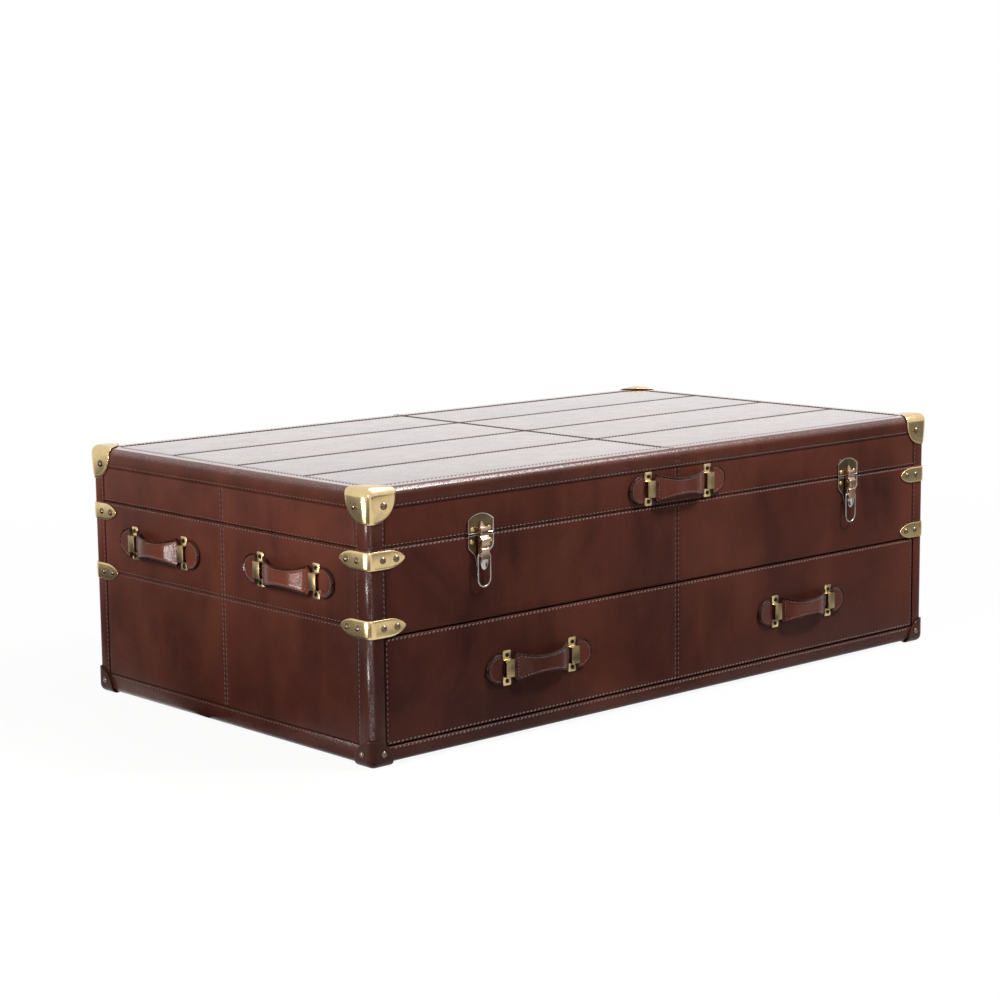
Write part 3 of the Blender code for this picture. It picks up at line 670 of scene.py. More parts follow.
class TRUNK_OT_body_leather(bpy.types.Operator):
    """Cover the body's ends, front, back and bottom"""

    bl_idname = "trunk.body_leather"
    bl_label = "Body leather"

    def execute(self, context):
        field = fields()
        recess = sizes().binding
        skin = recess + LAP
        soft = sizes().edge - skin
        finishes = (leather_finish("cover"), lining_finish(), leather_finish("foot"))
        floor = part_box("compartment_floor")[0].z
        for wall in ("left", "right"):
            here = WALLS[wall]
            name = wall + "_side_panel"
            low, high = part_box(name)
            near, far = sorted((here.sign * INSIDE, here.sign * (RIGHT - recess)))
            edges = [((here.side, end), soft) for end in ("-y", "+y", "-z")] + [((here.side, "+z"), HEM)]
            part = covered((near, FRONT + skin, low.z + skin), (far, BACK - skin, high.z), edges, -here.out,
                           field[wall], ((1, WRAP), (2, floor)))
            for face in part.faces:
                spot = face.calc_center_median()
                if face.material_index == 1 and (spot.z < floor or spot.y < WRAP):
                    face.material_index = 2
            piece(wall + "_end_leather", part, finishes, "carcass", (name,))
        low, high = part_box("front_panel")
        edges = [(("-y", end), HEM) for end in ("-z", "+z")]
        part = covered((low.x, FRONT + recess, low.z), high, edges, (0, 1, 0), field["front"])
        piece("front_leather", part, finishes, "carcass", ("front_panel",))
        low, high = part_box("back_panel")
        edges = [(("+y", "+z"), HEM)]
        part = covered(low, (high.x, BACK - recess, high.z), edges, (0, -1, 0), field["back"])
        piece("back_leather", part, finishes, "carcass", ("back_panel",))
        low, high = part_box("bottom_panel")
        edges = [(("-y", "-z"), sizes().edge), (("+y", "-z"), soft), (("-y", "+z"), HEM)]
        part = covered(low + Vector((0, 0, skin)), (high.x, BACK - skin, high.z), edges, (0, 0, 1),
                       cuts=((1, WRAP),))
        for face in part.faces:
            if face.calc_center_median().y < WRAP:
                face.material_index = 0
        finishes = (leather_finish("binding"), wood_finish("X"))
        piece("bottom_rail_leather", part, finishes, "carcass", ("bottom_panel",))
        return {"FINISHED"}


class TRUNK_OT_drawer(bpy.types.Operator):
    """Cover the drawer's front and finish its wooden box"""

    bl_idname = "trunk.drawer"
    bl_label = "Drawer"

    def execute(self, context):
        low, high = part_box("drawer_front")
        edges = [(("-y", side), DRAWER_HEM) for side in ("-x", "+x", "-z", "+z")]
        part = covered((low.x, FRONT + sizes().binding, low.z), high, edges, (0, 1, 0), fields()["drawer"])
        finishes = (leather_finish("cover"), wood_finish("X"))
        piece("drawer_front_leather", part, finishes, "drawer", ("drawer_front",))
        for node, along in (("drawer_left_side", "Y"), ("drawer_right_side", "Y"), ("drawer_back", "X"),
                            ("drawer_bottom", "X")):
            finish_node(node, wood_finish(along))
        return {"FINISHED"}


def finish_node(node, finish, bevel=0.0006):
    """Give a board or leaf of the frame its finish and softened edges."""
    thing = frame["nodes"][node]
    thing.data.materials.clear()
    thing.data.materials.append(finish)
    weld = thing.modifiers.new("weld", "WELD")
    weld.merge_threshold = 1e-5
    soften = thing.modifiers.new("soften", "BEVEL")
    soften.width = bevel
    soften.segments = 2
    soften.limit_method = "ANGLE"
    soften.angle_limit = math.radians(40)


class TRUNK_OT_inside(bpy.types.Operator):
    """Line the compartment's floor and finish the back hinge"""

    bl_idname = "trunk.inside"
    bl_label = "Lining and hinge"

    def execute(self, context):
        finish_node("compartment_floor", lining_finish())
        for node in ("hinge_body_leaf", "hinge_lid_leaf"):
            finish_node(node, metal_finish("old_brass"), 0.0003)
        return {"FINISHED"}


def thickened(bm, thickness, bevel):
    """Give a sheet a thickness towards its back and soften its rim."""
    bmesh.ops.solidify(bm, geom=bm.faces[:], thickness=thickness)
    bm.normal_update()
    return softened(bm, bevel, 55)


def facing(bm, centre):
    """Turn a sheet's faces away from a point inside the trunk."""
    bm.normal_update()
    turned = [f for f in bm.faces if f.normal.dot(f.calc_center_median() - centre) < 0]
    bmesh.ops.reverse_faces(bm, faces=turned)
    bm.normal_update()
    return bm


def bound(bm):
    """Make a binding of a sheet, marked where it turns over an edge and is rubbed bright."""
    facing(bm, WITHIN)
    edge = bm.verts.layers.float.new("edge")
    for vert in bm.verts:
        vert[edge] = min(1.0, 7.0 * (1 - max(abs(c) for c in vert.normal))) ** 1.2
    return thickened(bm, sizes().binding, BINDING_RIM)


def draped(columns, lines, spot):
    """A grid with a vertex for every column and line, each put at its own spot."""
    bm = bmesh.new()
    bmesh.ops.create_grid(bm, x_segments=len(columns) - 1, y_segments=len(lines) - 1, size=1.0)
    xs, ys = (sorted({round(v.co[axis], 5) for v in bm.verts}) for axis in (0, 1))
    for vert in bm.verts:
        vert.co = spot(columns[xs.index(round(vert.co.x, 5))], lines[ys.index(round(vert.co.y, 5))])
    return bm


def corner_sheet(low, high, leg_front, leg_side):
    """A thin strip round an upright edge at the origin, the trunk towards +X and +Y."""
    radius = sizes().edge
    path = [(leg_front, 0)]
    for angle in steps_between(-QUARTER, -math.pi, 6):
        path.append((radius + radius * math.cos(angle), radius + radius * math.sin(angle)))
    path.append((0, leg_side))
    return draped(path, (low, high), lambda place, z: (*place, z))


class TRUNK_OT_bindings(bpy.types.Operator):
    """Lay leather bindings over the edges"""

    bl_idname = "trunk.bindings"
    bl_label = "Bindings"

    def execute(self, context):
        leg = sizes().binding_leg
        post = RIGHT - INSIDE
        sole_gap = 0.0005
        finishes = (leather_finish("binding"), leather_finish("lid"))
        for name, x, y, quarter in CORNERS:
            place = set_at((x, y, 0), quarter)
            legs = {"front_left": (post, leg), "front_right": (leg, post)}.get(name, (leg, leg))
            lower = bound(corner_sheet(BODY_LOW + sole_gap, FRONT_LOW, *legs))
            upper = bound(corner_sheet(FRONT_LOW, BODY_TOP, leg, leg))
            whole = moved(joined([lower, upper]), place)
            piece("corner_binding_" + name, whole, finishes[:1], "carcass")
            strip = moved(bound(corner_sheet(SEAM, TOP - sizes().lid_edge, leg, leg)), place)
            piece("lid_corner_binding_" + name, strip, finishes[:1], "lid")
        piece("lid_edge_binding", self.lid_edge(leg), finishes, "lid")
        for name, x, y, quarter, along in (("left", -RIGHT, BACK, -1, BACK - FRONT),
                                           ("right", RIGHT, FRONT, 1, BACK - FRONT),
                                           ("back", RIGHT, BACK, 2, 2 * RIGHT)):
            strip = moved(self.foot(along, leg), set_at((x, y, BODY_LOW), quarter))
            piece("foot_binding_" + name, strip, finishes[:1], "carcass")
        return {"FINISHED"}

    def lid_edge(self, leg):
        """One ring over the lid's top edges, with the lid's finish on its upper face."""
        proud = 0.0002
        low = Vector((-RIGHT - proud, FRONT - proud, SEAM))
        high = Vector((RIGHT + proud, BACK + proud, TOP + proud))
        bm = block(low, high, [(pair, sizes().lid_edge) for pair in UPRIGHTS + TOPS], 8)
        drop = TOP - sizes().top_binding_leg
        borders = ((0, -RIGHT + leg), (0, RIGHT - leg), (1, FRONT + leg), (1, BACK - leg))
        for axis, place in ((2, drop),) + borders:
            slice_at(bm, axis, place)
        gone = []
        for face in bm.faces:
            spot = face.calc_center_median()
            inner = abs(spot.x) < RIGHT - leg and FRONT + leg < spot.y < BACK - leg
            if spot.z < drop or (inner and spot.z > TOP - proud):
                gone.append(face)
        bmesh.ops.delete(bm, geom=gone, context="FACES")
        return lined(bound(bm), (0, 0, 1), 0.98)

    def foot(self, along, leg):
        """A strip along a bottom edge, lying along X from the origin."""
        lying = Matrix(((0, 0, 1, 0), (0, 1, 0, 0), (1, 0, 0, 0), (0, 0, 0, 1)))
        sole_leg = 0.02
        bm = moved(bound(corner_sheet(leg, along - leg, leg, sole_leg)), lying)
        bmesh.ops.reverse_faces(bm, faces=bm.faces)
        return bm


def stitch(bm, place, along, out, size):
    """One stitch, a small ball drawn out along its row."""
    made = bmesh.ops.create_icosphere(bm, subdivisions=1, radius=0.5)
    turn = Matrix((along, out.cross(along).normalized(), out)).transposed().to_4x4()
    matrix = Matrix.Translation(place) @ turn @ Matrix.Diagonal((*size, 1.0))
    bmesh.ops.transform(bm, matrix=matrix, verts=made["verts"])


def stitched(start, end, out, bold):
    """A row of stitches from one point to another, lying on a face that looks out."""
    size = sizes()
    weight, slant = (1.45, math.radians(24)) if bold else (1.0, math.radians(9))
    thread = size.thread * weight
    count = max(1, int((end - start).length / size.pitch))
    step = (end - start) / count
    along = step.normalized()
    line = along * math.cos(slant) + out.cross(along).normalized() * math.sin(slant)
    bm = bmesh.new()
    stitch(bm, start + step / 2, line.normalized(), out, (size.stitch, thread, thread * 0.8))
    if count > 1:
        bmesh.ops.spin(bm, geom=everything(bm), cent=start, axis=out, dvec=step, angle=0.0, steps=count - 1,
                       use_duplicate=True)
    return bm


class TRUNK_OT_stitching(bpy.types.Operator):
    """Sew the seams and the bindings"""

    bl_idname = "trunk.stitching"
    bl_label = "Stitching"

    def execute(self, context):
        size = sizes()
        gap = size.row_gap
        leg = size.binding_leg - 0.0026
        drop = TOP - size.top_binding_leg + 0.0028
        low = BODY_LOW + leg
        # How far rows stop short of the lid caps, the caps' lobes on the top, the foot caps and the corners
        cap_clear, lobe_clear, foot_clear, corner_clear = 0.05, 0.045, 0.034, 0.004
        # How far upright rows stop short of a board's end, the row along the lid's border, and cross rows
        end_clear, border_clear, lid_clear, body_clear = 0.001, 0.003, 0.006, 0.005
        field = fields()
        rows = {"carcass": [], "lid": [], "drawer": []}

        def row(body, name, along, fixed, start, end, on_field=True, bold=False):
            """One row along u or v of a field, at a fixed coordinate of the other axis."""
            here = field[name]

            def place(moving):
                return (moving, fixed) if along == "u" else (fixed, moving)

            lift = 0.0002
            if on_field:
                tests = [start + (end - start) * share for share in (0.12, 0.31, 0.55, 0.69, 0.88)]
                lift = max(here.rise(*place(test)) for test in tests) - size.binding
            ends = [here.wall.spot(*place(moving), lift) for moving in (start, end)]
            # Which of the threads: 0 plain, 1 bold, and 2 a darkened copy in the lid's top, painted shade
            thread = 2 if name == "lid_top" and on_field else int(bold)
            rows[body].append((*ends, here.wall.out, bold, thread))

        def twin(body, name, along, seam, start, end, bold=False):
            for side in (-gap, gap):
                row(body, name, along, seam + side, start, end, bold=bold)

        for wall, near, far, post_low, seam_low in (
            ("front", -RIGHT, RIGHT, FRONT_LOW + end_clear, FRONT_LOW + 2 * end_clear),
            ("back", -RIGHT, RIGHT, low, low + corner_clear),
            ("left", FRONT, BACK, BODY_LOW + foot_clear, low + corner_clear),
            ("right", FRONT, BACK, BODY_LOW + foot_clear, low + corner_clear),
        ):
            lid = "lid_" + wall
            seam = field[wall].u_seams[0]
            for post in (near + leg, far - leg):
                row("carcass", wall, "v", post, post_low, BODY_TOP - end_clear, False)
                row("lid", lid, "v", post, SEAM + end_clear, drop - border_clear, False)
            row("lid", lid, "u", drop, near + cap_clear, far - cap_clear, False)
            row("lid", lid, "u", SEAM + gap, near + corner_clear, far - corner_clear)
            row("carcass", wall, "u", BODY_TOP - gap, near + corner_clear, far - corner_clear, bold=True)
            twin("lid", lid, "v", seam, SEAM + lid_clear, drop - border_clear)
            twin("carcass", wall, "v", seam, seam_low, BODY_TOP - body_clear)
            for belt in field[wall].v_seams:
                twin("carcass", wall, "u", belt, *field[wall].u_range)
                row("carcass", wall, "u", low, near + foot_clear, far - foot_clear, False)
        for y in (FRONT + leg, BACK - leg):
            row("lid", "lid_top", "u", y, -RIGHT + lobe_clear, RIGHT - lobe_clear, False)
        for x in (-RIGHT + leg, RIGHT - leg):
            row("lid", "lid_top", "v", x, FRONT + lobe_clear, BACK - lobe_clear, False)
        for seam in field["lid_top"].v_seams:
            twin("lid", "lid_top", "u", seam, -RIGHT + leg, RIGHT - leg, True)
        twin("lid", "lid_top", "v", 0.0, *field["lid_top"].v_range, True)
        # How far the rows over the lid's binding stop short of its edge, on the walls and on the top
        wall_turn, top_turn = 0.007, 0.008
        for x in (-gap, gap):
            for wall in ("front", "back"):
                row("lid", "lid_" + wall, "v", x, drop + 2 * end_clear, TOP - wall_turn, False)
            for y in (FRONT + top_turn, BACK - size.binding_leg):
                row("lid", "lid_top", "v", x, y, y + size.binding_leg - top_turn, False, True)
        # From the edges of the drawer and the lower rail to their rows, and to the rows of the middle seam
        edge, seam_clear = 0.0030, 0.007
        (left, right), (bottom, top) = field["drawer"].u_range, field["drawer"].v_range
        for z in (bottom + edge, top - edge):
            row("drawer", "drawer", "u", z, left + edge, right - edge, bold=True)
        for x in (left + edge, right - edge):
            row("drawer", "drawer", "v", x, bottom + edge, top - edge)
        twin("drawer", "drawer", "v", 0.0, bottom + seam_clear, top - seam_clear)
        z = RAIL_TOP - edge
        foot = sizes().foot_reach + 0.002
        spans = [((-RIGHT + foot, z), (RIGHT - foot, z), True)]
        spans += [((x, BODY_LOW + lid_clear), (x, z - corner_clear), False) for x in (-gap, gap)]
        front = WALLS["front"]
        for start, end, bold in spans:
            rows["carcass"].append((front.spot(*start), front.spot(*end), front.out, bold, int(bold)))
        # The dark thread is the plain thread darkened, painted shade on the lid's top.
        finishes = (thread_finish("seam", 1.0), thread_finish("bold", 1.35), thread_finish("dark", 0.22))
        for body, sewn in rows.items():
            sewing = joined([painted(stitched(*line), tone) for *line, tone in sewn])
            piece(body + "_stitching", sewing, finishes, body, smooth=80.0)
        return {"FINISHED"}


def aimed(place, out):
    """The matrix that sets a thing at a place, with its top looking out."""
    return Matrix.Translation(place) @ Vector(out).to_track_quat("Z", "Y").to_matrix().to_4x4()


def dome(segments, rings, size, level, kept):
    """A ball drawn to a size, cut flat at a level."""
    bm = bmesh.new()
    bmesh.ops.create_uvsphere(bm, u_segments=segments, v_segments=rings, radius=1.0)
    bmesh.ops.scale(bm, vec=size, verts=bm.verts)
    slice_at(bm, 2, level, kept)
    bmesh.ops.holes_fill(bm, edges=[e for e in bm.edges if e.is_boundary])
    return bm


def cone(segments, low_radius, high_radius, height):
    bm = bmesh.new()
    bmesh.ops.create_cone(bm, cap_ends=True, segments=segments, radius1=low_radius, radius2=high_radius,
                          depth=height)
    return bm


def rivet(place, out, radius):
    """A domed rivet head."""
    return moved(dome(18, 10, (radius, radius, radius * 0.58), radius * -0.1, 1), aimed(place, out))


def screw(place, radius, turn):
    """A low screw head with a slot, looking to the front."""
    bm = moved(cone(20, radius, radius * 0.72, radius * 0.55), Matrix.Rotation(turn, 4, "Z"))
    slot = radius * 0.16
    for side in (-slot, slot):
        slice_at(bm, 0, side)
    sunk = [f for f in bm.faces if f.normal.z > 0.9 and abs(f.calc_center_median().x) < slot]
    bmesh.ops.inset_region(bm, faces=sunk, thickness=0.00002, depth=0.0)
    bmesh.ops.translate(bm, vec=(0, 0, radius * -0.3), verts=list({v for f in sunk for v in f.verts}))
    return moved(bm, aimed(place, (0, -1, 0)))


def riveted(sheet, face, spots, radius):
    """Put rivets in both faces of a sheet that is bent round an upright edge."""
    parts = [painted(sheet, 0)]
    for along, up in spots:
        for place, out in (((along, face, up), (0, -1, 0)), ((face, along, up), (-1, 0, 0))):
            parts.append(painted(rivet(place, out, radius), 1))
    return joined(parts)


def lobed_cap(reach, powers, sheet, puff, rings=14):
    """A three-lobed cap over a corner at the origin, the trunk towards +X, +Y and -Z.

    Each lobe is a grid drawn out to its own outline; all are then rounded over the corner and puffed.
    """
    bm = bmesh.new()
    for (first, second), power in zip(((0, 2), (1, 2), (0, 1)), powers):
        made = bmesh.ops.create_grid(bm, x_segments=rings, y_segments=rings, size=0.5)
        for vert in made["verts"]:
            a, b = vert.co.x + 0.5, vert.co.y + 0.5
            ring = max(a, b)
            angle = 0.0
            if ring > 0:
                angle = math.pi / 4 * (b / a) if b <= a else QUARTER - math.pi / 4 * (a / b)
            outline = reach / (math.cos(angle) ** power + math.sin(angle) ** power) ** (1 / power)
            spot = [0.0, 0.0, 0.0]
            spot[first] = ring * outline * math.cos(angle)
            spot[second] = ring * outline * math.sin(angle)
            vert.co = (spot[0], spot[1], -spot[2])
    bmesh.ops.remove_doubles(bm, verts=bm.verts, dist=1e-6)
    radius = sizes().edge
    for vert in bm.verts:
        fullness = min(1.0, vert.co.length / reach)
        inner = Vector((max(vert.co.x, radius), max(vert.co.y, radius), min(vert.co.z, -radius)))
        way = (vert.co - inner).normalized()
        vert.co = inner + way * (radius + SEAT + sheet + puff * (1 - fullness ** 2.5))
    facing(bm, Vector((WITHIN.x, WITHIN.y, -WITHIN.z)))
    return thickened(bm, sheet * 0.8, sheet * 0.3)


class TRUNK_OT_lid_caps(bpy.types.Operator):
    """Put brass caps on the lid's corners"""

    bl_idname = "trunk.lid_caps"
    bl_label = "Lid caps"

    def execute(self, context):
        finishes = (metal_finish("brass"), metal_finish("bronze"))
        for name, x, y, quarter in CORNERS:
            node = "lid_cap_" + name
            cap = lobed_cap(sizes().cap_reach, powers=(2.5, 2.5, 1.3), sheet=0.0015, puff=0.0028)
            whole = riveted(cap, face=-0.0037, spots=((0.026, -0.024),), radius=sizes().rivet)
            moved(whole, set_at((x, y, TOP), quarter))
            piece("lid_corner_cap_" + name, whole, finishes, "lid", (node,), smooth=50.0)
        return {"FINISHED"}


class TRUNK_OT_foot_caps(bpy.types.Operator):
    """Put leather caps on the lower corners"""

    bl_idname = "trunk.foot_caps"
    bl_label = "Foot caps"

    def execute(self, context):
        finishes = (leather_finish("foot"), metal_finish("bronze"))
        upside_down = Matrix.Rotation(math.pi, 4, "X")
        for name, x, y, quarter in CORNERS:
            node = "foot_cap_" + name
            cap = lobed_cap(sizes().foot_reach, powers=(2.0, 2.0, 2.0), sheet=0.003, puff=0.0)
            whole = riveted(cap, face=-0.0032, spots=((0.019, -0.017),), radius=sizes().rivet * 0.85)
            moved(whole, set_at((x, y, BODY_LOW), quarter + 1) @ upside_down)
            piece("foot_corner_cap_" + name, whole, finishes, "carcass", (node,), smooth=50.0)
        return {"FINISHED"}


def band_sheet():
    """A brass band round an upright edge at the origin, with pointed round tips and a slight crown."""
    leg, half, tip, sheet = 0.0645, 0.0132, 0.031, 0.0015
    radius = sizes().edge
    bm = bmesh.new()
    bmesh.ops.create_grid(bm, x_segments=56, y_segments=8, size=1.0)
    for vert in bm.verts:
        share, across = vert.co.x, vert.co.y
        along = leg * math.copysign(1 - (1 - abs(share)) ** 1.35, share)
        late = max(0.0, (abs(along) - (leg - tip)) / tip)
        width = half * max(0.05, 1 - late ** 1.9) ** 0.66
        sharp = Vector((along, 0)) if along >= 0 else Vector((0, -along))
        inner = Vector((max(sharp.x, radius), max(sharp.y, radius)))
        way = (sharp - inner).normalized()
        crown = 0.0005 * (1 - across ** 2) * (1 - late)
        spot = inner + way * (radius + SEAT + sheet + crown)
        vert.co = (spot.x, spot.y, across * width)
    facing(bm, Vector((WITHIN.x, WITHIN.y, 0)))
    return thickened(bm, sheet * 0.8, 0.0005)


class TRUNK_OT_corner_bands(bpy.types.Operator):
    """Put brass bands round the upright edges"""

    bl_idname = "trunk.corner_bands"
    bl_label = "Corner bands"

    def execute(self, context):
        finishes = (metal_finish("brass"), metal_finish("bronze"))
        for name, x, y, quarter in CORNERS:
            for level in ("lower", "upper"):
                node = f"corner_band_{level}_{name}"
                spots = ((0.024, 0), (0.0485, 0))
                whole = riveted(band_sheet(), face=-0.0019, spots=spots, radius=sizes().rivet * 0.94)
                moved(whole, set_at((x, y, middle_of(node).z), quarter))
                piece(f"brass_band_{level}_{name}", whole, finishes, "carcass", (node,), smooth=50.0)
        return {"FINISHED"}


# Each handle: its name, its wall, the loops' ends, and the body that its loops are screwed to
HANDLES = (
    ("lid_handle", "front", ("left", "right"), "lid"),
    ("drawer_left_handle", "front", ("left", "right"), "drawer"),
    ("drawer_right_handle", "front", ("left", "right"), "drawer"),
    ("left_end_front_handle", "left", ("back", "front"), "carcass"),
    ("left_end_back_handle", "left", ("back", "front"), "carcass"),
    ("right_end_front_handle", "right", ("front", "back"), "carcass"),
    ("right_end_back_handle", "right", ("front", "back"), "carcass"),
)
TURNS = {"front": 0, "left": -1, "right": 1}
# Along a strap from its middle: where its loop begins and ends, and its tip
LOOP_START, LOOP_END, STRAP_TIP = 0.0575, 0.0765, 0.106
# Half a strap's width at its middle, in its loops and at its tabs
STRAP_MIDDLE, STRAP_NECK, STRAP_TAB = 0.013, 0.0108, 0.0215
STRAP_THICKNESS = 0.0036
STRAP_BOW = 0.0165


def on_wall(wall, node):
    """The matrix that sets hardware, drawn as on the front, against a wall at the middle of a node."""
    place = middle_of(node)
    place[WALLS[wall].normal] = WALLS[wall].level
    return set_at(place, TURNS[wall])


def middle_of(node):
    low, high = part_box(node)
    return (low + high) / 2


def strap_width(along):
    """Half the strap's width at a distance from its middle."""
    shoulder, flare, tip = 0.004, 0.003, 0.0225
    along = abs(along)
    if along < LOOP_START - shoulder:
        return STRAP_MIDDLE + (STRAP_TAB - STRAP_MIDDLE) * (along / (LOOP_START - shoulder)) ** 2.2
    if along < LOOP_START:
        return STRAP_TAB - (STRAP_TAB - STRAP_NECK) * (along - LOOP_START + shoulder) / shoulder
    if along < LOOP_END:
        return STRAP_NECK
    if along < LOOP_END + flare:
        return STRAP_NECK + (STRAP_TAB - STRAP_NECK) * (along - LOOP_END) / flare
    late = min(1.0, max(0.0, (along - STRAP_TIP + tip) / tip))
    return STRAP_TAB * max(0.004, 1 - late ** 2.1) ** 0.5


def strap_bow(along):
    """How far the strap stands off the wall at a distance from its middle."""
    return STRAP_BOW * max(0.0, 1 - abs(along / LOOP_START) ** 3)


def strap_margin(along, up):
    """How far a point of the strap is from its edge."""
    return min(strap_width(along) - abs(up), STRAP_TIP - abs(along))


def strap_mesh():
    """A leather strap along X with round tabs, necks in its loops, a bowed middle and a raised edge."""
    marks = [0.01, 0.02, 0.029, 0.037, 0.043, 0.048, 0.0515, 0.0535, 0.0548, 0.0562, LOOP_START, 0.062, 0.067,
             0.072, LOOP_END, 0.0775, 0.0785, 0.0795, 0.083, 0.087, 0.091, 0.0945, 0.0975, 0.1, 0.102, 0.1037,
             0.1049, 0.1056, STRAP_TIP]
    shares = [0.2, 0.5, 0.78, 0.86, 0.93, 1.0]

    def spot(along, across):
        up = across * strap_width(along)
        rim = 0.0010 * max(0.0, 1 - strap_margin(along, up) / 0.003)
        return (along, -(SEAT + STRAP_THICKNESS + strap_bow(along) + rim), up)

    bm = draped([-m for m in reversed(marks)] + [0.0] + marks, [-s for s in reversed(shares)] + shares, spot)
    thickened(facing(bm, Vector((0, 1.0, 0))), STRAP_THICKNESS, 0.0009)
    for face in bm.faces:
        middle = face.calc_center_median()
        face.material_index = 0 if strap_margin(middle.x, middle.z) > 0.0022 else 2
    return bm


def strap_stitches():
    """Thread along both edges of the middle, across its ends and round the tabs."""
    bm = bmesh.new()
    gap = 0.0034
    front = Vector((0, -1, 0))

    def run(places):
        points = [Vector((along, -0.0042 - strap_bow(along), up)) for along, up in places]
        for start, end in zip(points, points[1:]):
            slope = (end - start).normalized()
            out = (front - slope * slope.dot(front)).normalized()
            stitch(bm, (start + end) / 2, slope, out, (0.0037, 0.0009, 0.0008))

    for side in (-1, 1):
        run([(m, side * (strap_width(m) - gap)) for m in steps_between(-0.049, 0.049, 20)])
        run([(side * 0.0505, m) for m in steps_between(-0.0155, 0.0157, 6)])
        run([(side * (0.0805 + (0.0255 - gap) * math.cos(angle)), (STRAP_TAB - gap) * math.sin(angle))
             for angle in steps_between(-1.45, 1.45, 12)])
    return bm


def drawn_out(bm, faces, way, keep=False):
    """Extrude faces some way, and give the new ones."""
    swept = bmesh.ops.extrude_face_region(bm, geom=faces, use_keep_orig=keep)["geom"]
    bmesh.ops.translate(bm, vec=way, verts=[v for v in swept if isinstance(v, bmesh.types.BMVert)])
    return [f for f in swept if isinstance(f, bmesh.types.BMFace)]


def prism(outline, width, bevel=0.0, segments=2):
    """A flat outline of (out, up) points swept across X, with its edges softened."""
    bm = bmesh.new()
    face = bm.faces.new([bm.verts.new((-width / 2, -out, up)) for out, up in outline])
    drawn_out(bm, [face], (width, 0, 0))
    bmesh.ops.recalc_face_normals(bm, faces=bm.faces)
    return softened(bm, bevel, segments=segments) if bevel else bm


def loop_mesh():
    """A brass strip bent into a box over the strap, with an ear and a screw above and below."""
    ear, box, sheet, rise, width = 0.0265, 0.013, 0.0016, 0.010, 0.016
    wall = box - sheet
    face, top = SEAT + sheet, SEAT + rise
    half = [(face, ear), (SEAT, ear), (SEAT, wall), (top - sheet, wall)]
    outline = half + [(out, -up) for out, up in reversed(half)]
    outline += [(face, -box), (top, -box), (top, box), (face, box)]
    strip = prism(outline, width)
    ends = [e for e in strip.edges if all(abs(abs(v.co.z) - ear) < 1e-6 for v in e.verts)
            and abs(e.verts[0].co.x - e.verts[1].co.x) < 1e-6]
    softened(bevelled(strip, ends, 0.0024, 3), 0.0004)
    parts = [painted(strip, 0)]
    strip.normal_update()
    # The box's front faces take the darker brass, a painted dark reflection.
    for side in strip.faces:
        if side.normal.y < -0.9 and side.calc_center_median().y < -rise / 2:
            side.material_index = 2
    for up in (-0.0197, 0.0197):
        parts.append(painted(screw((0, -face - 0.0004, up), 0.0039, 0.5 + 30 * up), 1))
    return joined(parts)


class TRUNK_OT_handles(bpy.types.Operator):
    """Put the leather handles in their brass loops"""

    bl_idname = "trunk.handles"
    bl_label = "Handles"

    def execute(self, context):
        leather = (leather_finish("strap"), thread_finish("handle", 1.7), leather_finish("strap_edge"))
        brass = [metal_finish(kind) for kind in ("old_brass", "black", "worn_brass")]
        for name, wall, ends, body in HANDLES:
            node = name + "_strap"
            strap = moved(joined([strap_mesh(), painted(strap_stitches(), 1)]), on_wall(wall, node))
            piece(name + "_leather", strap, leather, node, (node,), smooth=60.0)
            for end in ends:
                loop_node = f"{name}_loop_{end}"
                loop = moved(loop_mesh(), on_wall(wall, loop_node))
                piece(f"{name}_brass_{end}", loop, brass, body, (loop_node,), smooth=40.0)
        return {"FINISHED"}


def plate(side):
    """A stamped latch plate with a raised rim round a dished middle; its back is at y = 0.

    Its outline is one side, given from top to bottom, and the mirror image.
    """
    thickness, rim, dish = 0.0019, 0.0009, 0.0008
    outline = side[::-1] + [(-x, z) for x, z in side]
    bm = bmesh.new()
    face = bm.faces.new([bm.verts.new((x, -thickness, z)) for x, z in outline])
    bm.normal_update()
    if face.normal.y > 0:
        face.normal_flip()
    drawn_out(bm, [face], (0, thickness, 0), True)
    bmesh.ops.recalc_face_normals(bm, faces=bm.faces)
    front = [f for f in bm.faces if f.normal.y < -0.9]
    bmesh.ops.inset_region(bm, faces=front, thickness=rim, depth=0.0, use_even_offset=True)
    front = [f for f in bm.faces if f.normal.y < -0.9 and len(f.verts) == len(outline)]
    middle = max(front, key=lambda f: f.calc_area())
    bmesh.ops.inset_region(bm, faces=[middle], thickness=0.0005, depth=-dish, use_even_offset=True)
    middle.material_index = 3
    return softened(bm, 0.00025, 40)


def keeper_mesh():
    """The lid's arched plate with two screws and a peaked hook, measured from the lid's lower edge."""
    half, low, shoulder, top = 0.025, 0.0008, 0.0210, 0.0308
    radius = (half ** 2 + (top - shoulder) ** 2) / (2 * (top - shoulder))
    centre = top - radius
    arch = steps_between(QUARTER, math.atan2(shoulder - centre, half), 10)[1:]
    side = [(radius * math.cos(angle), centre + radius * math.sin(angle)) for angle in arch] + [(half, low)]
    hook = prism([(0.001, 0.0008), (0.0092, 0.0008), (0.0100, 0.0075), (0.0088, 0.0108), (0.0070, 0.0112),
                  (0.0062, 0.0096), (0.001, 0.0096)], 0.0145, 0.0006)
    peak = moved(cone(4, 0.0078, 0.0008, 0.0095), Matrix.Rotation(math.radians(45), 4, "Z"))
    moved(peak, Matrix.Translation((0, -0.0024, 0.0142)) @ Matrix.Diagonal((1.0, 0.5, 1.0, 1.0)))
    parts = [plate(side), painted(hook, 1), painted(peak, 1)]
    for x, turn in ((-0.0165, 0.3), (0.0165, 1.1)):
        parts.append(painted(screw((x, -0.0017, 0.0075), 0.0036, turn), 2))
    return joined(parts)


